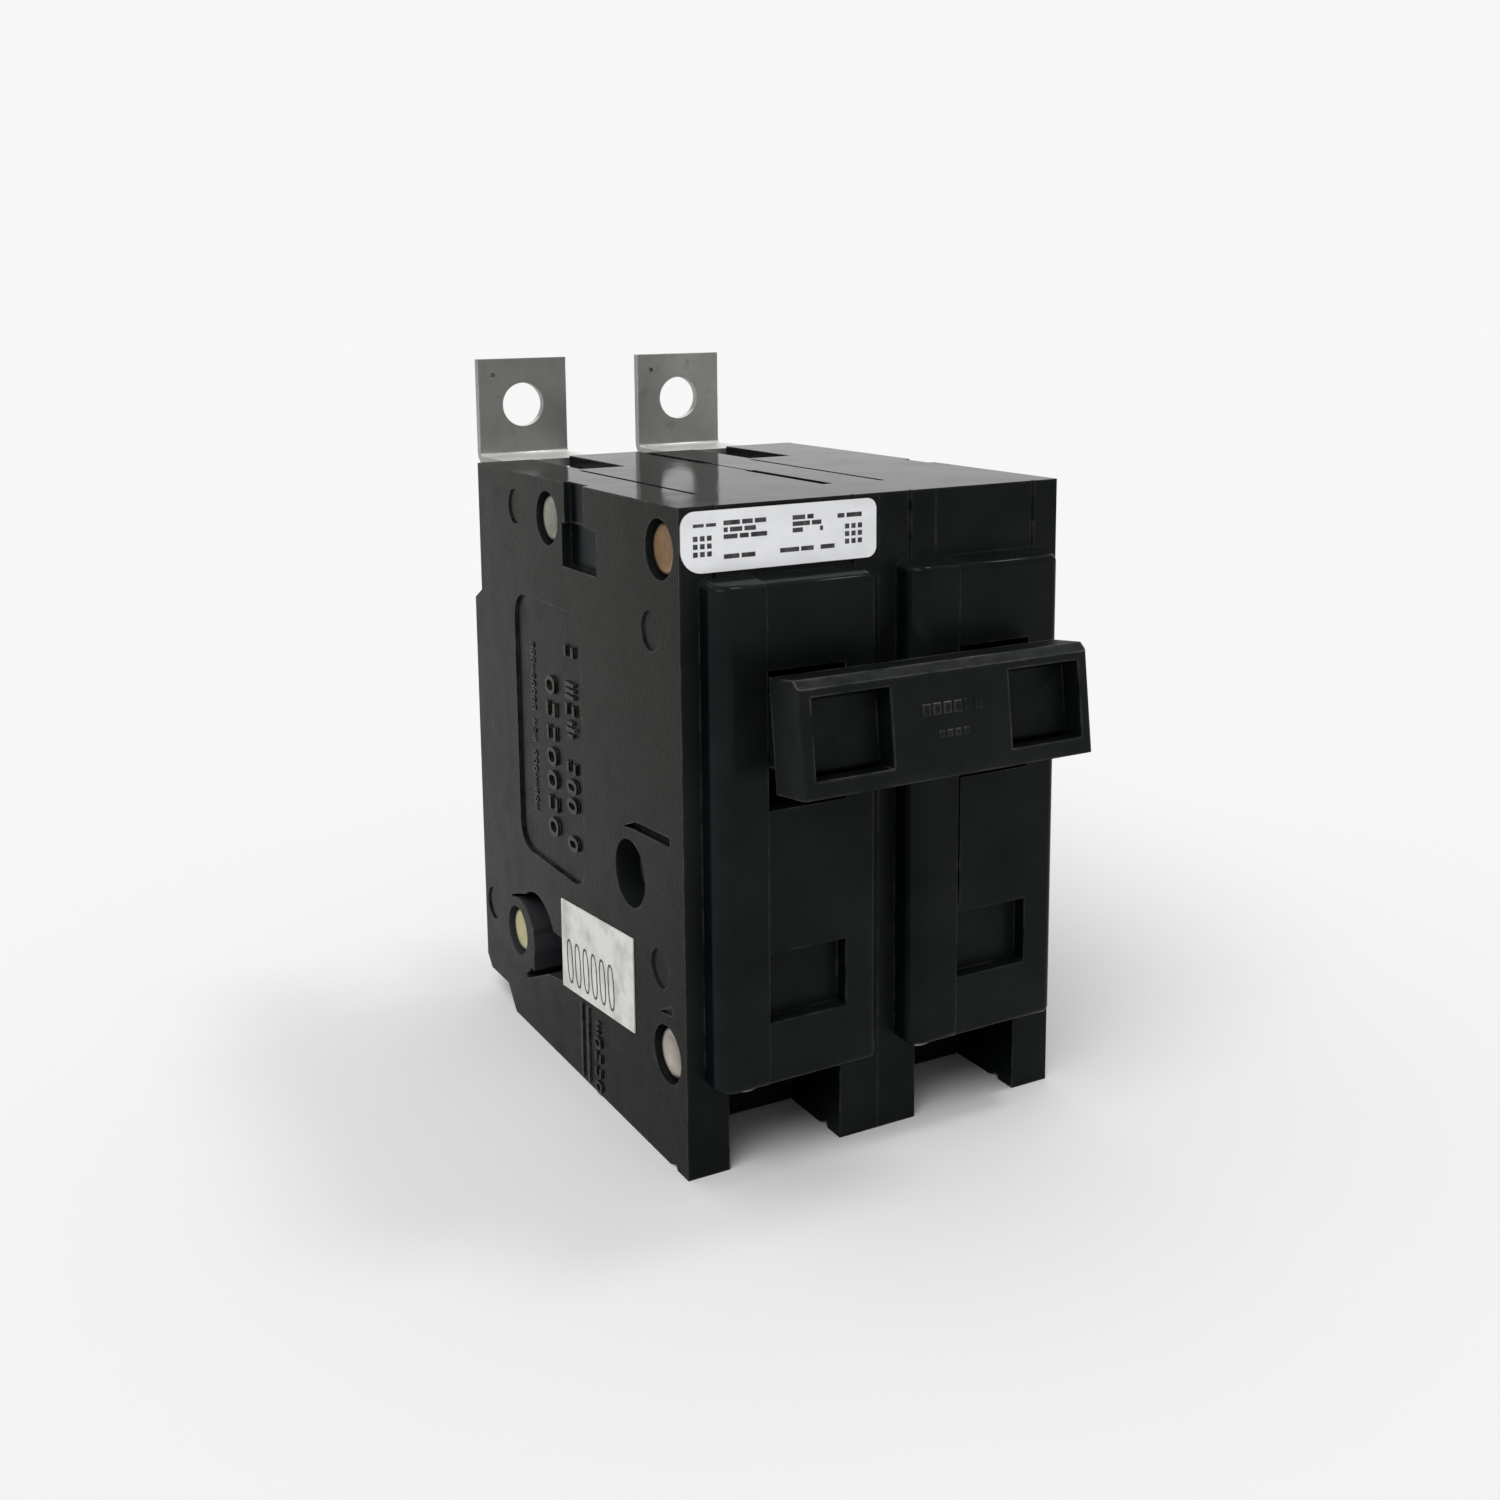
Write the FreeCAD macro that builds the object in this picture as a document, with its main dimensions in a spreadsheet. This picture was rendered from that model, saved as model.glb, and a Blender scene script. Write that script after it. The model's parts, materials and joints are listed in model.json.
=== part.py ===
import FreeCAD, Part
import os
import re
import Sketcher

# Two-pole bolt-on moulded case breaker, handle ON.
#
# Every piece is laid out in its pole's own working frame: x from the pole's left side, y from the
# plane of the upper back (front is negative), z from the bottom of the case. Placement then moves
# the piece to its pole and to the row frame, whose origin is the centre of the mounting back.

SIZES = {
    # poles and row frame
    "pole_left": -25.4, "pole_right": 0, "pole_width": 25.4,
    "origin_back": 2.6, "origin_height": 30,
    # case outline
    "case_front": 60.3, "case_height": 76.2, "wall": 2.2, "side_wall": 2, "parting": 7.8,
    "back_step": 2.6, "shoulder_top": 58.6, "shoulder_low": 57.2,
    "heel_rise": 3.2, "heel_start": 5.4, "heel_end": 8.2, "heel_round": 1.6,
    "toe_groove": 57.6, "toe_groove_width": 1.8, "toe_groove_depth": 0.8,
    "rear_block_start": 14.4, "rear_block_depth": 2.2,
    # raised front with the handle slot
    "raised_depth": 3.8, "raised_inset": 2.3, "raised_low": 10.8, "raised_high": 68.4,
    "raised_round": 2.2, "raised_round_right": 1.2, "raised_edge": 0.9, "raised_draft": 0.6,
    "raised_step": 0.15, "front_seam": 8.6,
    "slot_right": 18.6, "slot_low": 42.7, "slot_high": 58.3,
    "dimple_low": 18.3, "dimple_high": 26.3, "dimple_depth": 2,
    "reveal_left": 4, "reveal_right": 21.6, "reveal_width": 0.4, "reveal_depth": 0.3,
    # wire notch between the front feet
    "foot_left": 5.3, "foot_right": 20.1, "notch_back": 49, "notch_high": 10.6,
    # side face
    "counterbore_radius": 3.4, "counterbore_depth": 1.6,
    "key_front": 35.4, "key_back": 29.7, "key_depth": 0.9, "key_pocket_depth": 1.3,
    "key_pocket_front": 39, "key_pocket_back": 28.8, "key_pocket_low": 65.8, "key_pocket_high": 71.2,
    "panel_front": 33.4, "panel_back": 12.1, "panel_low": 25.5, "panel_high": 60.2,
    "panel_depth": 0.4, "panel_round": 3.4,
    "ejector_radius": 2.3, "ejector_depth": 0.25, "arrow_depth": 0.35,
    "pocket_depth": 4.2, "pocket_front": 27.5, "pocket_arch_y": 16.8, "pocket_arch_z": 13.4,
    "pocket_arch_radius": 6.5, "pocket_post_y": 10.4, "pocket_post_z": 12, "pocket_post_radius": 5.2,
    "pocket_flat": 15.4,
    "brow_width": 1.05, "brow_depth": 0.9, "brow_front": 57, "brow_high": 39.1,
    # seam slits along the top and down the right pole's raised front
    "slit_width": 0.7, "slit_depth": 1, "front_slit_width": 0.35, "front_slit_depth": 0.8,
    # rivets
    "rivet_back": 24.1, "rivet_front": 55.5, "rivet_high": 71.2, "rivet_low": 13.2,
    "rivet_heel": 9.7, "rivet_heel_height": 12.4,
    "rivet_radius": 1.6, "rivet_head_radius": 2.9, "rivet_head": 1, "rivet_boss": 3.2,
    # handle, its barrel and the tie across both handles
    "handle_y": -54, "handle_z": 50.5, "handle_tilt": -7,
    "handle_left": 8.7, "handle_right": 18.3, "barrel_radius": 7.4,
    "trunnion_radius": 2.5, "trunnion_reach": 3.2, "bearing_radius": 4.4,
    "lever_reach": 16.9, "lever_root": 3.7, "lever_tip": 4.3, "lever_round": 0.6,
    "leg_thickness": 1.6, "leg_reach": 12.8, "leg_half": 2.6, "arm_pivot": 10.6,
    "tie_left": -18.3, "tie_right": 19.8, "tie_back": 13.7, "tie_front": 19.5, "tie_half": 6.25,
    "tie_bevel": 1, "tie_window_half": 4.4, "tie_window_clear": 0.1,
    # line terminal strap and contacts
    "tab_left": 4.97, "tab_right": 18.6, "tab_front": 12.13, "strap": 1.2, "strap_top": 75.9,
    "tab_top": 89.8, "tab_hole_x": 11.79, "tab_hole_z": 83.1, "tab_hole_radius": 3.15,
    "bend": 0.8, "pip_radius": 0.4, "pip_depth": 0.5,
    "neck_left": 8.2, "neck_right": 14, "neck_drop": 1.2, "neck_dive": 5.2, "neck_low": 69.2,
    "ramp_start": 16.4, "ramp_end": 13.8, "ramp_depth": 1.3,
    "arm_tilt": 27, "contact_at": 28, "contact_radius": 2.4, "contact_height": 1.5, "contact_gap": 0.05,
    "fixed_seat": 4.3, "fixed_half": 4.6,
    # contact arm
    "prong_left": 10.8, "prong_right": 16, "prong": 1.2, "prong_half": 2, "prong_reach": 17,
    "arm_reach": 31.4, "arm_low": -1.4, "arm_high": 1.2, "stub_radius": 1.2, "stub_reach": 9.2,
    "spring_post_at": 15, "spring_post_radius": 0.6,
    # cradle, pivoting above the arm and latched in front of it
    "cradle_y": -30, "cradle_z": 66, "cradle_left": 12.7, "cradle_plate": 1.4, "cradle_hub": 2.4,
    "pin_radius": 1.2, "pin_clear": 0.05,
    "hook_y": -47.3, "hook_z": 52.3,
    "spring_radius": 1.2, "spring_root": 0.85, "spring_length": 15.4, "spring_tilt": 12,
    # trip bar through both poles
    "trip_y": -46.5, "trip_z": 31.9, "trip_radius": 2.4, "journal_radius": 4, "journal_clear": 0.05,
    "journal_start": 3.2, "journal_boss": 4.4, "journal_boss_radius": 5.6, "paddle_reach": 7.6,
    # armature, yoke, bimetal and load strap
    "armature_y": -26.7, "armature_z": 23.5, "armature_plate": 1.2, "armature_hub": 1.8,
    "armature_left": 8.5, "armature_right": 18.5, "armature_top": 41, "armature_low": 15.6,
    "strut_left": 12, "strut_right": 14.8,
    "yoke_front": 24.8, "yoke_left": 6.6, "yoke_right": 20.4, "yoke_plate": 1.4,
    "yoke_low": 15.6, "yoke_high": 24,
    "bimetal_y": -21.6, "bimetal": 1.2, "bimetal_top": 42,
    "load_strap": 1.6, "load_front": 39.4, "load_low": 3, "load_top": 14, "load_end": 19.6,
    "load_left": 8.4, "load_right": 17,
    # terminal screw and cage
    "screw_x": 12.7, "screw_z": 6.8, "screw_radius": 2.4, "screw_head_radius": 3,
    "screw_head": 2.2, "screw_tip": 39.6,
    "cage_left": 6.4, "cage_right": 19, "cage_wall": 1.6, "cage_front": 41.8, "cage_plate": 2,
    "cage_back": 28.8, "cage_low": 2.6, "cage_high": 11.8,
    "wire_left": 8.2, "wire_right": 17.2, "wire_front": 37.6, "wire_back": 30.6,
    # arc chute
    "chute_left": 4.5, "chute_right": 21.5, "chute_side": 0.8, "chute_front": 13, "chute_back": 2.6,
    "chute_low": 44, "chute_high": 60, "arc_plate": 1, "arc_plate_pitch": 3.4, "arc_plate_low": 46.4,
    "arc_notch_left": 9.4, "arc_notch_right": 17.4, "arc_notch_back": 8.2,
    # labels
    "label_thickness": 0.15, "rating_left": 0.15, "rating_right": 24.9, "rating_low": 69,
    "rating_high": 75.7, "rating_round": 1.2, "rating_top_round": 1.7, "rating_big_round": 2.6,
    "date_front": 47.1, "date_back": 25.7, "date_low": 10.5, "date_high": 22.2, "date_tilt": 5,
}

doc = FreeCAD.newDocument("breaker")
sheet = doc.addObject("Spreadsheet::Sheet", "Sizes")
for row, (alias, size) in enumerate(SIZES.items(), start=1):
    sheet.set("A%d" % row, alias)
    sheet.set("B%d" % row, str(size))
    sheet.setAlias("B%d" % row, alias)
doc.recompute()

ALIAS = re.compile(r"\b(" + "|".join(sorted(SIZES, key=len, reverse=True)) + r")\b")
ABOUT_X = FreeCAD.Vector(1, 0, 0)
ABOUT_Y = FreeCAD.Vector(0, 1, 0)
subparts = []


def formula(text):
    """An expression for the document, with each alias read from the sheet."""
    return ALIAS.sub(r"Sizes.\1", str(text))


def size(text):
    return float(sheet.evalExpression(formula(text)))


def bind(item, **expressions):
    for name, text in expressions.items():
        item.setExpression(name.replace("__", "."), formula(text))


def put(item, x, y, z):
    bind(item, Placement__Base__x=x, Placement__Base__y=y, Placement__Base__z=z)
    return item


# ---- primitives and booleans -------------------------------------------------------------------

def box(x0, x1, y0, y1, z0, z1):
    item = doc.addObject("Part::Box", "Box")
    bind(item, Length="(%s) - (%s)" % (x1, x0), Width="(%s) - (%s)" % (y1, y0),
         Height="(%s) - (%s)" % (z1, z0))
    return put(item, x0, y0, z0)


def cylinder_x(y, z, radius, x0, x1):
    item = doc.addObject("Part::Cylinder", "CylinderX")
    item.Placement.Rotation = FreeCAD.Rotation(ABOUT_Y, 90)
    bind(item, Radius=radius, Height="(%s) - (%s)" % (x1, x0))
    return put(item, x0, y, z)


def cylinder_y(x, z, radius, y0, y1):
    item = doc.addObject("Part::Cylinder", "CylinderY")
    item.Placement.Rotation = FreeCAD.Rotation(ABOUT_X, -90)
    bind(item, Radius=radius, Height="(%s) - (%s)" % (y1, y0))
    return put(item, x, y0, z)


def cylinder_z(x, y, radius, z0, z1):
    item = doc.addObject("Part::Cylinder", "CylinderZ")
    bind(item, Radius=radius, Height="(%s) - (%s)" % (z1, z0))
    return put(item, x, y, z0)


def fuse(*items):
    item = doc.addObject("Part::MultiFuse", "Fuse")
    item.Shapes = list(items)
    return item


def cut(base, *tools):
    item = doc.addObject("Part::Cut", "Cut")
    item.Base = base
    item.Tool = tools[0] if len(tools) == 1 else fuse(*tools)
    return item


def group(*items):
    item = doc.addObject("Part::Compound", "Group")
    item.Links = list(items)
    return item


# ---- PartDesign bodies -------------------------------------------------------------------------

def outline(body, plane, corners, away="0"):
    """A closed polygon on one of a body's origin planes, each corner held by the sheet's sizes."""
    sketch = body.newObject("Sketcher::SketchObject", "Outline")
    origin_plane = [item for item in body.Origin.OriginFeatures if item.Role == plane][0]
    sketch.AttachmentSupport = [(origin_plane, "")]
    sketch.MapMode = "FlatFace"
    bind(sketch, AttachmentOffset__Base__z=away)
    points = [FreeCAD.Vector(size(u), size(v), 0) for u, v in corners]
    count = len(points)
    for index in range(count):
        sketch.addGeometry(Part.LineSegment(points[index], points[(index + 1) % count]), False)
    for index in range(count):
        sketch.addConstraint(Sketcher.Constraint("Coincident", index, 2, (index + 1) % count, 1))
    for index, corner in enumerate(corners):
        for kind, mark, text in (("DistanceX", "u", corner[0]), ("DistanceY", "v", corner[1])):
            place = sketch.addConstraint(Sketcher.Constraint(kind, -1, 1, index, 1, size(text)))
            name = "%s%d" % (mark, index)
            sketch.renameConstraint(place, name)
            sketch.setExpression("Constraints." + name, formula(text))
    return sketch


def pad(plane, corners, start, end):
    """A body padded from a closed polygon, from start to end along the plane's axis."""
    body = doc.addObject("PartDesign::Body", "Body")
    away = "-1 * (%s)" % end if plane == "XZ_Plane" else start
    sketch = outline(body, plane, corners, away)
    extrusion = body.newObject("PartDesign::Pad", "Pad")
    extrusion.Profile = sketch
    bind(extrusion, Length="(%s) - (%s)" % (end, start))
    doc.recompute()
    return body


def round_edges(body, chosen, radius):
    """A PartDesign fillet on the edges that chosen() picks by their middle point and direction."""
    names = []
    rough = body.Tip
    for index, edge in enumerate(rough.Shape.Edges, start=1):
        middle = edge.CenterOfMass
        along = (edge.Vertexes[-1].Point - edge.Vertexes[0].Point).normalize()
        if chosen(middle, along):
            names.append("Edge%d" % index)
    fillet = body.newObject("PartDesign::Fillet", "Fillet")
    fillet.Base = (rough, names)
    bind(fillet, Radius=radius)
    doc.recompute()
    return body


# ---- sub-parts ---------------------------------------------------------------------------------

def finish(item, label, x="0", y="0", z="0", tilt=None):
    """Names a sub-part and moves it from its working frame to the row frame."""
    item.Label = label
    if tilt is not None:
        item.Placement.Rotation = FreeCAD.Rotation(ABOUT_X, 1)
        bind(item, Placement__Rotation__Angle=tilt)
    put(item, x, "%s - origin_back" % y, "%s - origin_height" % z)
    subparts.append(item)
    return item


RIVETS = (("-rivet_back", "rivet_high"), ("-rivet_front", "rivet_high"),
          ("-rivet_front", "rivet_low"), ("-rivet_heel", "rivet_heel_height"))
EJECTORS = (("-13.4", "71.6"), ("-53", "61.8"), ("-54", "22.9"), ("-0.6", "13.4"))
SPRING_COILS = 10
ARROW = (("-53.7", "17.7"), ("-56.9", "18.3"), ("-57.2", "19.5"))


def case_outline():
    return (("-case_front", "0"), ("-case_front", "case_height"), ("0", "case_height"),
            ("0", "shoulder_top"), ("back_step", "shoulder_low"),
            ("back_step", "heel_rise + heel_round"), ("back_step - heel_round", "heel_rise"),
            ("-heel_start", "heel_rise"), ("-heel_end", "0"),
            ("-toe_groove + toe_groove_width", "0"), ("-toe_groove + 0.4", "toe_groove_depth"),
            ("-toe_groove", "0"))


def cavity_outline():
    inner_notch = "-notch_back + side_wall"
    return ((inner_notch, "wall"), (inner_notch, "notch_high + wall"),
            ("-case_front + wall", "notch_high + wall"), ("-case_front + wall", "case_height - wall"),
            ("-wall", "case_height - wall"), ("-wall", "shoulder_top - wall"),
            ("back_step - wall", "shoulder_low - wall"), ("back_step - wall", "heel_rise + wall"),
            ("-heel_start - 1", "heel_rise + wall"), ("-heel_end - 1.2", "wall"))


def raised_front(x0, x1, end=None, end_round="raised_round", root="0.5", step="0"):
    """A stretch of the raised front, with a drafted top, a rounded rim and a rounder corner at its end."""
    front = "-case_front - raised_depth + %s" % step
    back = "-case_front + (%s)" % root
    top = "raised_high - %s" % step
    block = pad("YZ_Plane", ((back, "raised_low"), (front, "raised_low"), (front, "%s - raised_draft" % top),
                             (back, "%s + raised_draft * (%s) / raised_depth" % (top, root))), x0, x1)
    foremost = size(front) + 0.01
    if end:
        face = size(end)
        block = round_edges(block, lambda middle, along: abs(middle.x - face) < 0.01
                            and middle.y < foremost and abs(along.z) > 0.9, end_round)
    inner_faces = [size(x) for x in (x0, x1) if x != end]
    rooted = size(back) - 0.01
    return round_edges(block, lambda middle, along: abs(along.z) < 0.9 and middle.y < rooted
                       and all(abs(middle.x - inner) > 0.01 for inner in inner_faces), "raised_edge")


def bosses(x0, x1):
    """Posts that carry the rivets and the pivot pins, from the side wall inwards."""
    return [cylinder_x(y, z, "rivet_boss", x0, x1) for y, z in RIVETS]


def pin_posts(x0, x1):
    """Posts that carry the cradle's and the armature's pins."""
    return [cylinder_x("cradle_y", "cradle_z", "pin_radius + 1.4", x0, x1),
            cylinder_x("armature_y", "armature_z", "pin_radius + 1.4", x0, x1)]


def case_holes(x0, x1):
    """Bores that run through a case half, for the rivets and the trip bar."""
    holes = [cylinder_x(y, z, "rivet_radius + 0.05", x0, x1) for y, z in RIVETS]
    holes.append(cylinder_x("trip_y", "trip_z", "journal_radius + journal_clear", x0, x1))
    return holes


def pin_holes(x0, x1):
    return [cylinder_x("cradle_y", "cradle_z", "pin_radius + 0.02", x0, x1),
            cylinder_x("armature_y", "armature_z", "pin_radius + 0.02", x0, x1)]


def counterbores(x0, x1):
    return [cylinder_x(y, z, "counterbore_radius", x0, x1) for y, z in RIVETS]


def key_channel(x0, x1):
    """The keying channel at the top edge of a side face."""
    return box(x0, x1, "-key_front", "-key_back", "key_pocket_high - 0.4", "case_height + 1")


def key_pocket(x0, x1):
    """The square pocket under the keying channel."""
    return box(x0, x1, "-key_pocket_front", "-key_pocket_back", "key_pocket_low", "key_pocket_high")


def heel_pocket():
    """The deep pocket that runs forward from the heel rivet's post: arched above, sloping below."""
    run = pad("YZ_Plane", (("-pocket_post_y + 2.8", "pocket_post_z + 5"), ("-pocket_arch_y + 3.2", "18.9"),
                           ("-pocket_arch_y", "pocket_arch_z"), ("-22.5", "16.6"), ("-pocket_front", "16.6"),
                           ("-pocket_front", "11.3"), ("-pocket_post_y - 2.2", "6.6"),
                           ("-pocket_post_y", "pocket_post_z")), "-1", "pocket_depth")
    arch = cylinder_x("-pocket_arch_y", "pocket_arch_z", "pocket_arch_radius", "-1", "pocket_depth")
    floor = pad("YZ_Plane", (("-pocket_post_y - 1", "6"), ("-20.3", "9.9"), ("-pocket_front", "11.3"),
                             ("-pocket_front", "3")), "-2", "pocket_depth + 1")
    post = cylinder_x("-pocket_post_y", "pocket_post_z", "pocket_post_radius", "-2", "pocket_depth + 1")
    flat = box("-2", "pocket_depth + 1", "-pocket_flat", "-pocket_post_y", "8.6", "14.5")
    return cut(fuse(run, arch), floor, post, flat)


def side_face_details():
    """The moulded details of the outermost side face."""
    panel = pad("YZ_Plane", (("-panel_front", "panel_low"), ("-panel_back", "panel_low"),
                             ("-panel_back", "panel_high"), ("-panel_front", "panel_high")),
                "-1", "panel_depth")
    round_edges(panel, lambda middle, along: abs(along.x) > 0.9, "panel_round")
    ejectors = [cylinder_x(y, z, "ejector_radius", "-1", "ejector_depth") for y, z in EJECTORS]
    brow = pad("YZ_Plane", (("-brow_front", "brow_high"), ("-brow_front", "brow_high - brow_width"),
                            ("trip_y - 1.1", "brow_high - 1.5 * brow_width"),
                            ("trip_y + 1.6", "brow_high - 1.8 * brow_width"),
                            ("trip_y - 1.8", "brow_high - 0.5 * brow_width")), "-1", "brow_depth")
    arrow = pad("YZ_Plane", ARROW, "-1", "arrow_depth")
    key = [key_channel("-1", "key_depth"), key_pocket("-1", "key_pocket_depth")]
    return [panel, heel_pocket(), brow, arrow] + ejectors + key


def pole_slits(on_left):
    """The slits along the top, where the two poles' cases meet, thinner in the middle."""
    slits = []
    for y0, y1, width in (("-19.4", "-1.4", "slit_width"), ("-30.6", "-19.4", "slit_width / 3"),
                          ("-49.5", "-30.6", "slit_width")):
        x0, x1 = ("-0.1", width) if on_left else ("pole_width - %s" % width, "pole_width + 1")
        slits.append(box(x0, x1, y0, y1, "case_height - slit_depth", "case_height + 1"))
    return slits


def make_cover(outer):
    """The shallow left half of a pole's case."""
    shell = cut(pad("YZ_Plane", case_outline(), "0", "parting"),
                pad("YZ_Plane", cavity_outline(), "side_wall", "parting + 1"))
    solid = fuse(shell, raised_front("raised_inset", "parting", end="raised_inset"),
                 raised_front("parting - 1", "front_seam", root="-0.02"),
                 cylinder_x("handle_y", "handle_z", "bearing_radius", "side_wall - 0.1", "parting - 0.2"),
                 cylinder_x("trip_y", "trip_z", "journal_boss_radius", "side_wall - 0.1", "journal_boss"),
                 box("side_wall - 0.1", "pocket_depth + side_wall", "-pocket_front - 1", "-wall",
                     "5", "21.5"),
                 *bosses("side_wall - 0.1", "parting"), *pin_posts("side_wall - 0.1", "yoke_left - 0.4"))
    tools = [box("foot_left", "parting + 1", "-case_front - 10", "-notch_back", "-1", "notch_high"),
             box("raised_inset + wall", "parting + 1", "-case_front - raised_depth + wall",
                 "-case_front + wall + 0.1", "notch_high + wall", "raised_high - wall"),
             cylinder_x("handle_y", "handle_z", "trunnion_radius + journal_clear",
                        "handle_left - trunnion_reach - 0.3", "parting + 1"),
             box("reveal_left", "reveal_left + reveal_width", "-case_front - 0.1",
                 "-case_front + reveal_depth", "raised_high", "case_height + 1"),
             box("parting - slit_width", "parting + 1", "-50", "-18", "case_height - slit_depth",
                 "case_height + 1")]
    tools += case_holes("-1", "parting + 1") + pin_holes("side_wall + 1", "parting + 1")
    if outer:
        tools += counterbores("-1", "counterbore_depth") + side_face_details()
    else:
        tools += pole_slits(True)
    return cut(solid, *tools)


def make_base(outer):
    """The deep right half of a pole's case, which carries the mechanism."""
    shell = cut(pad("YZ_Plane", case_outline(), "parting", "pole_width"),
                pad("YZ_Plane", cavity_outline(), "parting - 1", "pole_width - side_wall"))
    rear_block = box("rear_block_start", "pole_width", "-0.1", "rear_block_depth",
                     "shoulder_low", "case_height")
    inner = "pole_width - side_wall + 0.1"
    end = "pole_width - raised_inset"
    front = raised_front("front_seam", end, end, "raised_round_right", step="raised_step")
    solid = fuse(shell, rear_block, front,
                 cylinder_x("handle_y", "handle_z", "bearing_radius", "handle_right + 0.3", inner),
                 *bosses("parting", inner), *pin_posts("armature_right + 2.2", inner))
    neck_floor = "strap_top - strap - neck_drop"
    ramp = pad("YZ_Plane", (("-ramp_start", "case_height"), ("-ramp_end", "case_height - ramp_depth"),
                            ("-neck_dive - 0.3", "case_height - ramp_depth - 0.2"),
                            ("-neck_dive - 0.3", neck_floor), ("rear_block_depth + 1", neck_floor),
                            ("rear_block_depth + 1", "case_height + 1"), ("-ramp_start", "case_height + 1")),
               "neck_left - 0.1", "neck_right + 0.6")
    tools = [box("parting - 1", "foot_right", "-case_front - 10", "-notch_back", "-1", "notch_high"),
             box("parting - 1", "pole_width - raised_inset - wall", "-case_front - raised_depth + wall",
                 "-case_front + wall + 0.1", "notch_high + wall", "raised_high - wall"),
             box("parting - 1", "slot_right", "-case_front - raised_depth - 1", "-case_front + 1",
                 "slot_low", "slot_high"),
             box("front_seam", "slot_right", "-case_front - raised_depth - 1",
                 "-case_front - raised_depth + dimple_depth", "dimple_low", "dimple_high"),
             cylinder_x("handle_y", "handle_z", "trunnion_radius + journal_clear", "handle_right",
                        "handle_right + trunnion_reach + 0.3"),
             cylinder_y("screw_x", "screw_z", "screw_radius + 0.3", "-notch_back - 1", "-notch_back + 3"),
             box("wire_left", "wire_right", "-wire_front", "-wire_back", "-1", "wall + 1"),
             box("neck_left - 0.1", "neck_right + 0.1", "-neck_dive - 0.3", "-neck_dive + strap + 0.3",
                 "case_height - wall - 1", "case_height"),
             box("reveal_right", "reveal_right + reveal_width", "-case_front - 0.1",
                 "-case_front + reveal_depth", "raised_high", "case_height + 1"),
             ramp]
    tools += case_holes("parting - 1", "pole_width + 1")
    tools += pin_holes("armature_right + 1", "pole_width - side_wall - 0.4")
    if outer:
        tools += counterbores("pole_width - counterbore_depth", "pole_width + 1")
        tools.append(key_channel("pole_width - key_depth", "pole_width + 1"))
        tools.append(key_pocket("pole_width - key_pocket_depth", "pole_width + 1"))
        tools.append(box("front_seam", "front_seam + front_slit_width",
                         "-case_front - raised_depth - 1", "-case_front - raised_depth + front_slit_depth",
                         "dimple_high + 1", "slot_low + 0.1"))
    else:
        tools += pole_slits(False)
    return cut(solid, *tools)


def make_handle():
    """A handle about its own pivot: barrel, lever forward, two legs back to the contact arm."""
    barrel = cylinder_x("0", "0", "barrel_radius", "handle_left", "handle_right")
    hollow = box("handle_left + leg_thickness + 0.3", "handle_right - leg_thickness - 0.3", "1",
                 "barrel_radius + 1", "-barrel_radius - 1", "barrel_radius + 1")
    trunnion = cylinder_x("0", "0", "trunnion_radius", "handle_left - trunnion_reach",
                          "handle_right + trunnion_reach")
    lever = pad("YZ_Plane", (("-3", "-lever_root"), ("-lever_reach", "-lever_tip"),
                             ("-lever_reach", "lever_tip"), ("-3", "lever_root")),
                "handle_left", "handle_right")
    tip = size("-lever_reach + 0.1")
    round_edges(lever, lambda middle, along: middle.y < tip and abs(along.x) > 0.9, "lever_round")
    legs = [box(x0, x1, "1", "leg_reach", "-leg_half", "leg_half") for x0, x1 in
            (("handle_left + 0.3", "handle_left + 0.3 + leg_thickness"),
             ("handle_right - 0.3 - leg_thickness", "handle_right - 0.3"))]
    core = cut(fuse(barrel, trunnion), hollow)
    return cut(fuse(core, lever, *legs),
               cylinder_x("arm_pivot", "0", "stub_radius + pin_clear", "handle_left - 1", "handle_right + 1"))


def make_handle_tie():
    """The bar that caps both handles, about the handle pivot."""
    bar = pad("YZ_Plane", (("-tie_back", "-tie_half"), ("-tie_front", "-tie_half"),
                           ("-tie_front", "tie_half - tie_bevel"), ("-tie_front + tie_bevel", "tie_half"),
                           ("-tie_back", "tie_half")), "tie_left", "tie_right")
    round_edges(bar, lambda middle, along: abs(along.x) < 0.1 and middle.y < size("-tie_front + 0.01"), "0.4")
    windows = [box("%s + handle_left - tie_window_clear" % pole,
                   "%s + handle_right + tie_window_clear" % pole,
                   "-tie_front - 1", "-tie_back + 1", "-tie_window_half", "tie_window_half")
               for pole in ("pole_left", "pole_right")]
    return cut(bar, *windows)


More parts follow.
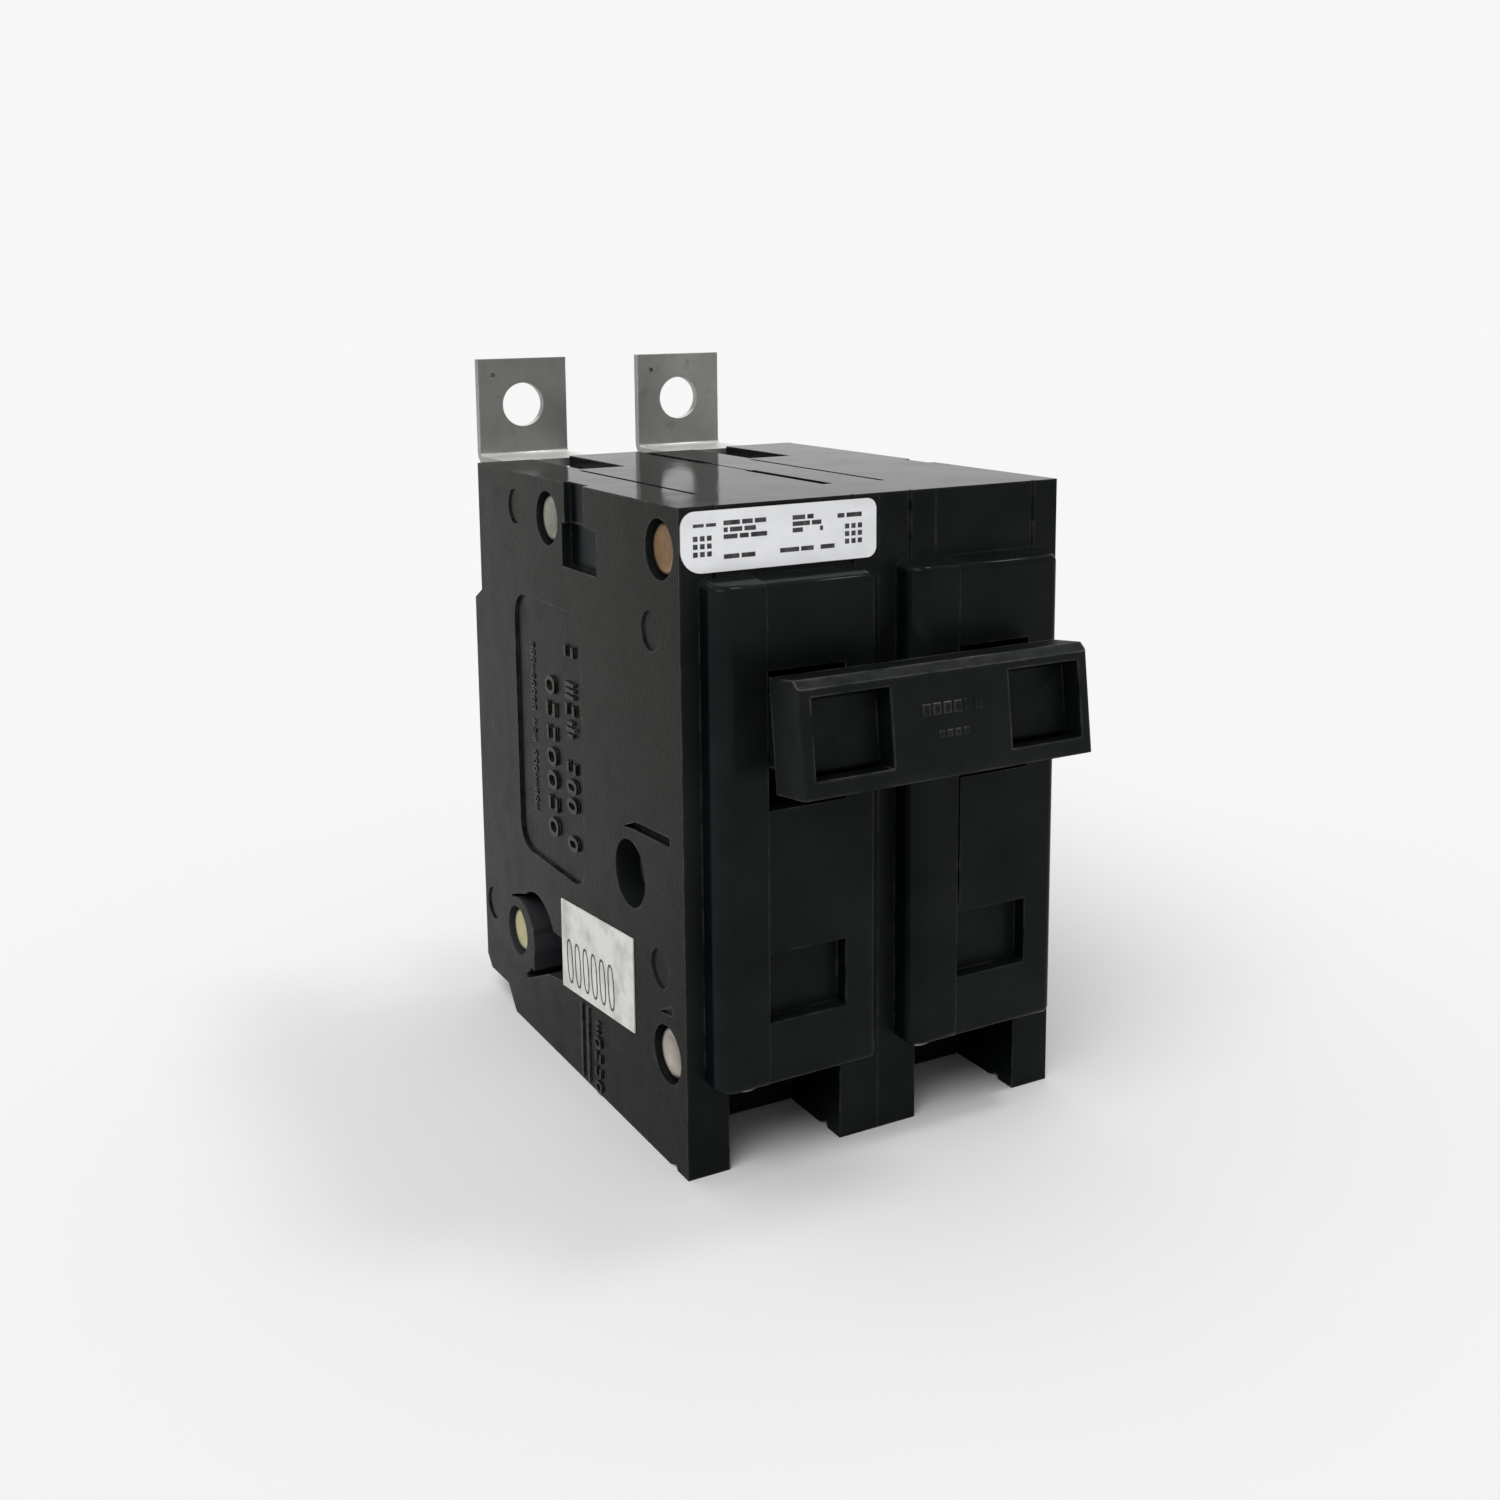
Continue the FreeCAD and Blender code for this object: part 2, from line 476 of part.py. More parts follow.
def make_line_terminal():
    """The L-shaped bolt-on tab, its neck into the case and the inner end that seats the contact."""
    bottom = "strap_top - strap"
    angle = pad("YZ_Plane", (("rear_block_depth + 0.3", bottom), ("tab_front + strap", bottom),
                             ("tab_front + strap", "tab_top"), ("tab_front", "tab_top"),
                             ("tab_front", "strap_top"), ("rear_block_depth + 0.3", "strap_top")),
                "tab_left", "tab_right")
    inside = FreeCAD.Vector(0, size("tab_front"), size("strap_top"))
    outside = FreeCAD.Vector(0, size("tab_front + strap"), size(bottom))
    for corner, radius in ((inside, "bend"), (outside, "bend + strap")):
        round_edges(angle, lambda middle, along: abs(along.x) > 0.9 and abs(middle.y - corner.y) < 0.01
                    and abs(middle.z - corner.z) < 0.01, radius)
    tab = cut(angle,
              cylinder_y("tab_hole_x", "tab_hole_z", "tab_hole_radius", "tab_front - 1",
                         "tab_front + strap + 1"),
              cylinder_y("tab_left + 2.2", "tab_top - 2.4", "pip_radius", "tab_front - 1",
                         "tab_front + pip_depth"))
    joggle = box("neck_left", "neck_right", "rear_block_depth + 0.3", "rear_block_depth + 0.3 + strap",
                 bottom + " - neck_drop", "strap_top - 0.2")
    neck = box("neck_left", "neck_right", "-neck_dive", "rear_block_depth + 0.4", bottom + " - neck_drop",
               "strap_top - neck_drop")
    dive = box("neck_left", "neck_right", "-neck_dive", "-neck_dive + strap", "neck_low",
               "strap_top - neck_drop")
    inner = box("neck_left", "neck_right", "-16.6", "-neck_dive + strap", "neck_low", "neck_low + strap")
    seat = box("neck_left", "neck_right + 1", "0", "10", "0", "strap")
    seat.Placement.Rotation = FreeCAD.Rotation(ABOUT_X, size("arm_tilt"))
    y0, z0 = arm_point("contact_at - fixed_half", "fixed_seat")
    put(seat, "neck_left", y0, z0)
    return fuse(tab, joggle, neck, dive, inner, seat)


def arm_pivot_place():
    """Where the handle holds the contact arm's stubs, in the working frame."""
    return ("handle_y + arm_pivot * cos(handle_tilt * 1 deg)",
            "handle_z + arm_pivot * sin(handle_tilt * 1 deg)")


def arm_point(along, above):
    """A point of the closed contact arm in the working frame."""
    pivot_y, pivot_z = arm_pivot_place()
    y = "%s + (%s) * cos(arm_tilt * 1 deg) - (%s) * sin(arm_tilt * 1 deg)" % (pivot_y, along, above)
    z = "%s + (%s) * sin(arm_tilt * 1 deg) + (%s) * cos(arm_tilt * 1 deg)" % (pivot_z, along, above)
    return y, z


ARM_MIDDLE = "(prong_left + prong_right) / 2"


def make_contact_arm():
    """The forked contact arm about its stubs, lying along +y."""
    prongs = []
    for x0, x1, stub0, stub1 in (
            ("prong_left", "prong_left + prong", "stub_reach", "prong_left + 0.1"),
            ("prong_right - prong", "prong_right", "prong_right - 0.1",
             "prong_left + prong_right - stub_reach")):
        prongs.append(box(x0, x1, "0", "prong_reach", "-prong_half", "prong_half"))
        prongs.append(cylinder_x("0", "0", "prong_half", x0, x1))
        prongs.append(cylinder_x("0", "0", "stub_radius", stub0, stub1))
    tail = pad("YZ_Plane", (("prong_reach - 1", "-prong_half"), ("arm_reach", "arm_low"),
                            ("arm_reach", "arm_high"), ("prong_reach + 4", "arm_high"),
                            ("prong_reach - 1", "prong_half")),
               "prong_left", "prong_right")
    post = cylinder_x("spring_post_at", "0", "spring_post_radius", "prong_left + 0.1", "prong_right - 0.1")
    return fuse(*prongs, tail, post)


def make_moving_contact():
    button = cylinder_z(ARM_MIDDLE, "contact_at", "contact_radius", "arm_high",
                        "arm_high + contact_height")
    return group(button)


def make_fixed_contact():
    button = cylinder_z(ARM_MIDDLE, "contact_at", "contact_radius",
                        "arm_high + contact_height + contact_gap", "fixed_seat")
    return group(button)


def make_cradle():
    """The cradle plate: hub at its pivot, arch over the arm, spring nose and latch tip."""
    outer = (("cradle_y", "cradle_z + cradle_hub"), ("-46.6", "65"), ("-50.1", "61"))
    latch_tip = (("-50.1", "44.4"), ("-49.2", "43.4"), ("-47.55", "45.3"), ("-47.55", "51"))
    spring_nose = (("hook_y + 1.4", "hook_z - 0.4"), ("hook_y + 1.4", "hook_z + 0.6"), ("-47.55", "53.4"))
    inner = (("-47.4", "59.4"), ("-45.2", "61.8"), ("cradle_y", "cradle_z - cradle_hub"))
    profile = outer + latch_tip + spring_nose + inner
    plate = pad("YZ_Plane", profile, "cradle_left", "cradle_left + cradle_plate")
    hub = cylinder_x("cradle_y", "cradle_z", "cradle_hub", "cradle_left - 1.2",
                     "cradle_left + cradle_plate + 1.2")
    bore = cylinder_x("cradle_y", "cradle_z", "pin_radius + pin_clear", "cradle_left - 2",
                      "cradle_left + cradle_plate + 2")
    return cut(fuse(plate, hub), bore)


def make_pin(y, z):
    return group(cylinder_x(y, z, "pin_radius", "side_wall + 1.2", "pole_width - side_wall - 0.6"))


def make_toggle_spring():
    """The toggle spring as a solid of revolution whose outline follows its coils."""
    profile = [("0", "0")]
    for coil in range(SPRING_COILS):
        profile.append(("spring_length * %d / %d" % (coil, SPRING_COILS), "spring_root"))
        profile.append(("spring_length * %.1f / %d" % (coil + 0.5, SPRING_COILS), "spring_radius"))
    profile += [("spring_length", "spring_root"), ("spring_length", "0")]
    body = doc.addObject("PartDesign::Body", "Body")
    sketch = outline(body, "YZ_Plane", profile)
    coiled = body.newObject("PartDesign::Revolution", "Revolution")
    coiled.Profile = sketch
    coiled.ReferenceAxis = (sketch, ["H_Axis"])
    coiled.Angle = 360
    doc.recompute()
    return body


def make_trip_bar():
    """The common trip bar: a round bar, journals in the pole walls and one paddle per pole."""
    bar_start = "pole_left + journal_start"
    bar_end = "pole_right + pole_width - 1"
    bar = cylinder_x("0", "0", "trip_radius", bar_start, bar_end)
    spans = (("pole_left + journal_start", "pole_left + journal_boss"),
             ("pole_right - side_wall - 0.4", "pole_right + journal_boss"),
             ("pole_right + pole_width - side_wall - 0.4", bar_end))
    journals = [cylinder_x("0", "0", "journal_radius", x0, x1) for x0, x1 in spans]
    paddle = (("0", "-1.8"), ("paddle_reach", "-3"), ("paddle_reach", "-1.4"), ("0", "0.6"))
    paddles = [pad("YZ_Plane", paddle, "%s + armature_left + 1" % pole, "%s + armature_right - 1" % pole)
               for pole in ("pole_left", "pole_right")]
    return fuse(bar, *journals, *paddles)


def make_armature():
    """The armature: a plate on its pin, with the latch strut up to the cradle's tip."""
    plate = box("armature_left", "armature_right", "armature_y - armature_plate / 2",
                "armature_y + armature_plate / 2", "armature_low", "armature_top")
    hub = cylinder_x("armature_y", "armature_z", "armature_hub", "armature_left", "armature_right")
    strut = pad("YZ_Plane", (("armature_y - 0.6", "armature_z - 0.5"), ("-49.42", "41.87"),
                             ("-48.38", "43.09"), ("armature_y + 0.3", "armature_z + 0.9")),
                "strut_left", "strut_right")
    bore = cylinder_x("armature_y", "armature_z", "pin_radius + pin_clear", "armature_left - 1",
                      "armature_right + 1")
    return cut(fuse(plate, hub, strut), bore)


def make_magnet_yoke():
    back = box("yoke_left", "yoke_right", "bimetal_y + bimetal", "bimetal_y + bimetal + yoke_plate",
               "yoke_low", "yoke_high")
    legs = [box(x0, x1, "-yoke_front", "bimetal_y + bimetal + 0.1", "yoke_low", "yoke_high") for x0, x1 in
            (("yoke_left", "yoke_left + yoke_plate"), ("yoke_right - yoke_plate", "yoke_right"))]
    return fuse(back, *legs)


SCREW_X = "armature_right - 2.2"
SCREW_Z = "bimetal_top - 2.5"


def make_bimetal():
    strip = box("armature_left", "armature_right", "bimetal_y", "bimetal_y + bimetal", "load_top",
                "bimetal_top")
    return cut(strip, cylinder_y(SCREW_X, SCREW_Z, "0.92", "bimetal_y - 1", "bimetal_y + bimetal + 1"))


def make_calibration_screw():
    back = "bimetal_y + bimetal"
    return fuse(cylinder_y(SCREW_X, SCREW_Z, "0.9", "bimetal_y - 3.6", back + " + 1"),
                cylinder_y(SCREW_X, SCREW_Z, "1.5", back + " + 0.1", back + " + 1"))


def make_braid():
    """The flat flexible braid from the bimetal's back up to the contact arm."""
    ribbon = (("-20.4", "33"), ("-19.2", "33"), ("-19.2", "40"), ("-15.6", "47"), ("-17", "52.6"),
              arm_point("19.8", "-1.9"), arm_point("18.6", "-1.9"), ("-17.9", "51.6"), ("-16.9", "47.3"),
              ("-20.4", "40.4"))
    return pad("YZ_Plane", ribbon, ARM_MIDDLE + " - 2.1", ARM_MIDDLE + " - 0.2")


def make_load_strap():
    tongue = box("load_left", "load_right", "-load_front", "-load_front + load_strap", "load_low", "load_top")
    shelf = box("load_left", "armature_right", "-load_front", "-load_end",
                "load_top - load_strap", "load_top")
    anchor = box("load_right", "pole_width - side_wall", "-34", "-24", "load_top - load_strap", "load_top")
    return fuse(tongue, shelf, anchor)


def make_wire_cage():
    """The cage that the screw draws up against the load strap."""
    outer = box("cage_left", "cage_right", "-cage_front", "-cage_back", "cage_low", "cage_high")
    window = box("cage_left + cage_wall", "cage_right - cage_wall", "-cage_front + cage_plate",
                 "-cage_back - cage_wall", "cage_low - 1", "cage_high + 1")
    thread = cylinder_y("screw_x", "screw_z", "screw_radius + 0.06", "-cage_front - 1",
                        "-cage_front + cage_plate + 1")
    return cut(outer, window, thread)


def make_terminal_screw():
    head_back = "-notch_back - 0.3"
    head = cylinder_y("screw_x", "screw_z", "screw_head_radius", head_back + " - screw_head", head_back)
    shank = cylinder_y("screw_x", "screw_z", "screw_radius", "-notch_back - 0.4", "-screw_tip")
    slot = box("screw_x - screw_head_radius - 1", "screw_x + screw_head_radius + 1", "-notch_back - 3.5",
               "-notch_back - 1.5", "screw_z - 0.5", "screw_z + 0.5")
    return cut(fuse(head, shank), slot)


def make_arc_frame():
    sides = [box(x0, x1, "-chute_front", "-chute_back", "chute_low", "chute_high") for x0, x1 in
             (("chute_left", "chute_left + chute_side"), ("chute_right - chute_side", "chute_right"))]
    return group(*sides)


def make_arc_plates():
    plates = []
    for index in range(4):
        low = "arc_plate_low + %d * arc_plate_pitch" % index
        sheet_metal = box("chute_left + chute_side", "chute_right - chute_side", "-chute_front + 1",
                          "-chute_back - 0.4", low, low + " + arc_plate")
        mouth = box("arc_notch_left", "arc_notch_right", "-chute_front", "-arc_notch_back",
                    low + " - 1", low + " + arc_plate + 1")
        plates.append(cut(sheet_metal, mouth))
    return group(*plates)


def make_rivets():
    """Four rivets through both poles, with a head in each counterbore."""
    solids = []
    left_seat = "pole_left + counterbore_depth"
    right_seat = "pole_right + pole_width - counterbore_depth"
    for y, z in RIVETS:
        solids.append(fuse(cylinder_x(y, z, "rivet_radius", left_seat + " - 0.1", right_seat + " + 0.1"),
                           cylinder_x(y, z, "rivet_head_radius", left_seat + " - rivet_head", left_seat),
                           cylinder_x(y, z, "rivet_head_radius", right_seat, right_seat + " + rivet_head")))
    return group(*solids)


def make_rating_label():
    """The foil label across the front of the left pole."""
    corners = (("pole_left + rating_left", "rating_low"), ("pole_left + rating_right", "rating_low"),
               ("pole_left + rating_right", "rating_high"), ("pole_left + rating_left", "rating_high"))
    label = pad("XZ_Plane", corners, "-case_front - label_thickness", "-case_front")
    low = size("rating_low")
    left = size("pole_left + rating_left")

    def big(middle, along):
        return abs(along.y) > 0.9 and abs(middle.x - left) < 0.1 and abs(middle.z - low) < 0.1

    def high_left(middle, along):
        return abs(along.y) > 0.9 and abs(middle.x - left) < 0.1 and not abs(middle.z - low) < 3

    def right(middle, along):
        return abs(along.y) > 0.9 and not abs(middle.x - left) < 4

    round_edges(label, big, "rating_big_round")
    round_edges(label, high_left, "rating_top_round")
    return round_edges(label, right, "rating_round")


def make_date_label():
    """The paper sticker on the left side, laid a little askew."""
    drop = "(date_front - date_back) * tan(date_tilt * 1 deg)"
    corners = (("-date_front", "date_low + " + drop), ("-date_back", "date_low"),
               ("-date_back", "date_high"), ("-date_front", "date_high + " + drop))
    return pad("YZ_Plane", corners, "pole_left - label_thickness", "pole_left")


PIVOT_Y, PIVOT_Z = arm_pivot_place()

for side, pole in (("left", "pole_left"), ("right", "pole_right")):
    finish(make_cover(side == "left"), "cover_" + side, pole)
    finish(make_base(side == "right"), "base_" + side, pole)
    finish(make_handle(), "handle_" + side, pole, "handle_y", "handle_z", "handle_tilt")
    finish(make_line_terminal(), "line_terminal_" + side, pole)
    finish(make_contact_arm(), "contact_arm_" + side, pole, PIVOT_Y, PIVOT_Z, "arm_tilt")
    finish(make_moving_contact(), "moving_contact_" + side, pole, PIVOT_Y, PIVOT_Z, "arm_tilt")
    finish(make_fixed_contact(), "fixed_contact_" + side, pole, PIVOT_Y, PIVOT_Z, "arm_tilt")
    finish(make_cradle(), "cradle_" + side, pole)
    finish(make_pin("cradle_y", "cradle_z"), "cradle_pin_" + side, pole)
    finish(make_toggle_spring(), "toggle_spring_" + side, pole + " + " + ARM_MIDDLE, "hook_y + 1.5",
           "hook_z + 0.3", "spring_tilt")
    finish(make_armature(), "armature_" + side, pole)
    finish(make_pin("armature_y", "armature_z"), "armature_pin_" + side, pole)
    finish(make_magnet_yoke(), "magnet_yoke_" + side, pole)
    finish(make_bimetal(), "bimetal_" + side, pole)
    finish(make_calibration_screw(), "calibration_screw_" + side, pole)
    finish(make_braid(), "flexible_braid_" + side, pole)
    finish(make_load_strap(), "load_strap_" + side, pole)
    finish(make_wire_cage(), "wire_cage_" + side, pole)
    finish(make_terminal_screw(), "terminal_screw_" + side, pole)
    finish(make_arc_frame(), "arc_chute_frame_" + side, pole)
    finish(make_arc_plates(), "arc_plates_" + side, pole)

finish(make_handle_tie(), "handle_tie", "0", "handle_y", "handle_z", "handle_tilt")
finish(make_trip_bar(), "trip_bar", "0", "trip_y", "trip_z")
finish(make_rivets(), "rivets")
finish(make_rating_label(), "rating_label")
finish(make_date_label(), "date_label")

# ---- check and write ---------------------------------------------------------------------------

doc.recompute()
for item in doc.Objects:
    if "Invalid" in item.State or "Error" in item.State:
        raise SystemExit("%s (%s) failed: %s" % (item.Name, item.Label, item.State))
for item in subparts:
    if item.Shape.isNull() or not item.Shape.isValid() or not item.Shape.Solids:
        raise SystemExit("%s has no valid shape" % item.Label)

os.makedirs("parts", exist_ok=True)
for item in subparts:
    item.Shape.exportStep("parts/%s.step" % item.Label)
    print("%-26s solids %2d  volume %9.2f" % (item.Label, len(item.Shape.Solids), item.Shape.Volume))
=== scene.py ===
import json
import math
import random

import bmesh
import bpy
from mathutils import Matrix, Vector


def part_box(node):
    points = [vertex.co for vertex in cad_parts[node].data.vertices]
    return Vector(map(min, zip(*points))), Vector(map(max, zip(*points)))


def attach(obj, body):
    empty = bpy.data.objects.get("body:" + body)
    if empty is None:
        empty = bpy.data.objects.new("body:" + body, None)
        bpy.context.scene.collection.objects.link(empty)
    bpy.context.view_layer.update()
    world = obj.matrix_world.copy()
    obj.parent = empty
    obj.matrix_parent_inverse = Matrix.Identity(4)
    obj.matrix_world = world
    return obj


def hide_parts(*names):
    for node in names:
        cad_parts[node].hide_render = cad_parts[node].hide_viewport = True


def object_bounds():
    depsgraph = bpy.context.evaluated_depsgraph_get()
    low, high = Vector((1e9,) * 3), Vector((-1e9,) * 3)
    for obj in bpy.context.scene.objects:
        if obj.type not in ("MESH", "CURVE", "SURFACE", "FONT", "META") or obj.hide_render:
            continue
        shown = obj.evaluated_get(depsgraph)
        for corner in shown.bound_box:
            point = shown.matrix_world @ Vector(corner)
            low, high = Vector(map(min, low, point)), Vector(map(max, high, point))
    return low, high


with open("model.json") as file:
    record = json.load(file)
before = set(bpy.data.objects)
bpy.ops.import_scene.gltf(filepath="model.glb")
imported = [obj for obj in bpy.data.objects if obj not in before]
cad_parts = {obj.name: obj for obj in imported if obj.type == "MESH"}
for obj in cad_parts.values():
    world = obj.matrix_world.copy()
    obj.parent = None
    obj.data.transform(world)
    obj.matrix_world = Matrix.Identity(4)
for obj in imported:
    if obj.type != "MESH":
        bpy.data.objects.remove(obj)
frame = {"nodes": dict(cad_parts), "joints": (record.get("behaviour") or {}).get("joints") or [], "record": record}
cad_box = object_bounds()

# Two-pole bolt-on moulded case breaker. Lengths in the tables below are in millimetres, measured from
# the lower left corner of the case: x along the row of poles, y from the upper back (the front is
# negative) and z upwards. place() turns them into the frame's metres.

MM = 0.001
BACK_STEP = 2.6
POLE = 25.4
SIDES = ("left", "right")
case_low, case_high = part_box("cover_left")
CORNER = Vector((case_low.x, case_high.y - BACK_STEP * MM, case_low.z))
random.seed(7)


def place(x, y, z):
    return CORNER + Vector((x, y, z)) * MM


# ---- materials ---------------------------------------------------------------------------------

def start_material(name, **inputs):
    """A node material whose Principled sockets take the given values."""
    made = bpy.data.materials.new(name)
    made.use_nodes = True
    shader = made.node_tree.nodes["Principled BSDF"]
    for socket, value in inputs.items():
        shader.inputs[socket.replace("_", " ")].default_value = value
    return made, shader


def add(made, kind, **values):
    node = made.node_tree.nodes.new(kind)
    for name, value in values.items():
        setattr(node, name, value)
    return node


def join(made, source, target):
    made.node_tree.links.new(source, target)


def noise(made, scale, detail=3.0, stretch=(1, 1, 1), offset=0.0):
    """Noise in the object's own metres, so that scale 1000 has grains of about a millimetre."""
    coordinates = add(made, "ShaderNodeTexCoord")
    mapping = add(made, "ShaderNodeMapping")
    mapping.inputs["Scale"].default_value = stretch
    mapping.inputs["Location"].default_value = (offset, offset, offset)
    pattern = add(made, "ShaderNodeTexNoise")
    pattern.inputs["Scale"].default_value = scale
    pattern.inputs["Detail"].default_value = detail
    join(made, coordinates.outputs["Object"], mapping.inputs["Vector"])
    join(made, mapping.outputs["Vector"], pattern.inputs["Vector"])
    return pattern.outputs["Fac"]


def remap(made, value, low, high, to_low=0.0, to_high=1.0):
    node = add(made, "ShaderNodeMapRange", clamp=True)
    node.inputs["From Min"].default_value = low
    node.inputs["From Max"].default_value = high
    node.inputs["To Min"].default_value = to_low
    node.inputs["To Max"].default_value = to_high
    join(made, value, node.inputs["Value"])
    return node.outputs["Result"]


def maths(made, operation, first, second=None):
    node = add(made, "ShaderNodeMath", operation=operation, use_clamp=True)
    join(made, first, node.inputs[0])
    if isinstance(second, float):
        node.inputs[1].default_value = second
    elif second is not None:
        join(made, second, node.inputs[1])
    return node.outputs[0]


def blend_colour(made, factor, first, second):
    """Between two colours, each an RGB triple or the output of another node."""
    node = add(made, "ShaderNodeMix", data_type="RGBA")
    join(made, factor, node.inputs["Factor"])
    for socket, colour in ((node.inputs[6], first), (node.inputs[7], second)):
        if isinstance(colour, tuple):
            socket.default_value = (*colour, 1.0)
        else:
            join(made, colour, socket)
    return node.outputs[2]


def bump(made, height, strength, distance, under=None):
    node = add(made, "ShaderNodeBump")
    node.inputs["Strength"].default_value = strength
    node.inputs["Distance"].default_value = distance
    join(made, height, node.inputs["Height"])
    if under is not None:
        join(made, under, node.inputs["Normal"])
    return node.outputs["Normal"]


def mix_values(made, factor, first, second):
    """Between two values, each a number or the output of another node."""
    node = add(made, "ShaderNodeMix", data_type="FLOAT")
    join(made, factor, node.inputs["Factor"])
    for socket, value in ((node.inputs[2], first), (node.inputs[3], second)):
        if isinstance(value, float):
            socket.default_value = value
        else:
            join(made, value, socket)
    return node.outputs[0]


def edge_mask(made, radius, amount, patches=500):
    """1 on sharp edges, broken up by noise, and 0 on open faces."""
    rounded = add(made, "ShaderNodeBevel", samples=4)
    rounded.inputs["Radius"].default_value = radius
    geometry = add(made, "ShaderNodeNewGeometry")
    product = add(made, "ShaderNodeVectorMath", operation="DOT_PRODUCT")
    join(made, rounded.outputs["Normal"], product.inputs[0])
    join(made, geometry.outputs["Normal"], product.inputs[1])
    edge = remap(made, product.outputs["Value"], 0.97, 0.80)
    return maths(made, "MULTIPLY", edge, remap(made, noise(made, patches, 6.0), 0.35, 0.75, 0.0, amount))


def axis_of(made, kind, axis):
    """One axis of a texture coordinate: its Normal or its Object place."""
    coordinates = add(made, "ShaderNodeTexCoord")
    split = add(made, "ShaderNodeSeparateXYZ")
    join(made, coordinates.outputs[kind], split.inputs["Vector"])
    return split.outputs[axis]


def between(made, value, low, high):
    """1 where a value lies between two limits, in metres."""
    soft = 0.5 * MM
    rising = remap(made, value, low, low + soft)
    return maths(made, "MULTIPLY", rising, remap(made, value, high - soft, high, 1.0, 0.0))


def side_masks(made):
    """Three masks: faces that look sideways, the outermost of them, and the walls of the heel pocket."""
    sideways = remap(made, maths(made, "ABSOLUTE", axis_of(made, "Normal", "X")), 0.93, 0.99)
    reach = maths(made, "ABSOLUTE", axis_of(made, "Object", "X"))
    near_skin = remap(made, reach, (POLE - 0.8) * MM, (POLE - 0.6) * MM)
    outermost = maths(made, "MULTIPLY", sideways, near_skin)
    pocket_front, pocket_back, pocket_low, pocket_high, pocket_depth = -29, -2, 4, 23, 5.0
    within_reach = remap(made, reach, (POLE - pocket_depth) * MM, (POLE - pocket_depth + 0.5) * MM)
    within_depth = between(made, axis_of(made, "Object", "Y"),
                           place(0, pocket_front, 0).y, place(0, pocket_back, 0).y)
    within_height = between(made, axis_of(made, "Object", "Z"),
                            place(0, 0, pocket_low).z, place(0, 0, pocket_high).z)
    within_outline = maths(made, "MULTIPLY", within_depth, within_height)
    return sideways, outermost, maths(made, "MULTIPLY", within_reach, within_outline)


def moulded_case():
    """Glossy black thermoset: satin and olive on its sides with a painted sheen lighter towards the top, painted
    shade on side faces sunk in pockets, a painted sheen on the heel pocket's walls, flow marks, dust, and scuffed
    edges with a painted highlight.
    """
    made, shader = start_material("moulded_case", Specular_IOR_Level=0.055)
    sideways, outermost, painted_sheen_pocket_walls = side_masks(made)
    cloud = remap(made, noise(made, 90, 5.0), 0.35, 0.7)
    gloss_black = blend_colour(made, cloud, (0.0055, 0.0066, 0.0070), (0.0115, 0.0130, 0.0134))
    # Painted sheen: the outer side faces run from near black at the bottom to olive grey at the top, as the light
    # falls on them.
    height = remap(made, axis_of(made, "Object", "Z"), case_low.z, case_high.z, 0.0, 0.75)
    painted_sheen_rise = maths(made, "ADD", height, remap(made, noise(made, 45, 4.0, offset=5.0), 0.3, 0.7, 0.0, 0.25))
    olive_painted_sheen = blend_colour(made, painted_sheen_rise, (0.0010, 0.0014, 0.0008), (0.0090, 0.0089, 0.0066))
    # Painted shade: side faces sunk into pockets and hollows get a darker blue-black than the outer side.
    recess_painted_shade = blend_colour(made, cloud, (0.0012, 0.0026, 0.0034), (0.0040, 0.0056, 0.0066))
    # Painted sheen: the walls inside the heel pocket get a lighter grey, where highlights would fall on them.
    base = blend_colour(made, painted_sheen_pocket_walls, gloss_black, (0.028, 0.029, 0.032))
    base = blend_colour(made, sideways, base, recess_painted_shade)
    base = blend_colour(made, outermost, base, olive_painted_sheen)
    dust = remap(made, noise(made, 2600, 2.0, offset=3.0), 0.66, 0.78, 0.0, 0.3)
    base = blend_colour(made, maths(made, "MULTIPLY", dust, outermost), base, (0.06, 0.06, 0.052))
    # Scuffed edges, brighter on the sides: partly wear and partly a painted highlight along the edges.
    wear_and_highlight = maths(made, "MULTIPLY", edge_mask(made, 0.0005, 0.7), mix_values(made, sideways, 0.5, 1.0))
    base = blend_colour(made, wear_and_highlight, base, (0.12, 0.12, 0.115))
    join(made, base, shader.inputs["Base Color"])
    frontal = remap(made, maths(made, "ABSOLUTE", axis_of(made, "Normal", "Y")), 0.9, 0.99)
    glossy = remap(made, noise(made, 160, 5.0), 0.3, 0.7, 0.07, 0.15)
    satin = remap(made, noise(made, 240, 5.0), 0.3, 0.7, 0.18, 0.34)
    rough = mix_values(made, frontal, glossy, 0.32)
    join(made, mix_values(made, sideways, rough, satin), shader.inputs["Roughness"])
    waves = bump(made, noise(made, 70, 2.0), 0.12, 0.0005)
    grain = maths(made, "MULTIPLY", noise(made, 2800, 2.0), outermost)
    join(made, bump(made, grain, 0.5, 0.00008, waves), shader.inputs["Normal"])
    return made


def moulded_relief():
    """The raised marks on the side: the case's black, with a painted glint along their edges."""
    made, shader = start_material("moulded_relief", Specular_IOR_Level=0.12)
    cloud = remap(made, noise(made, 500, 4.0), 0.3, 0.7)
    base = blend_colour(made, cloud, (0.002, 0.0024, 0.0018), (0.010, 0.0102, 0.0086))
    # Painted glints: light grey along the figures' edges, in place of highlights.
    base = blend_colour(made, edge_mask(made, 0.00015, 0.8, 900), base, (0.30, 0.30, 0.28))
    join(made, base, shader.inputs["Base Color"])
    join(made, remap(made, noise(made, 800, 3.0), 0.3, 0.7, 0.12, 0.3), shader.inputs["Roughness"])
    return made


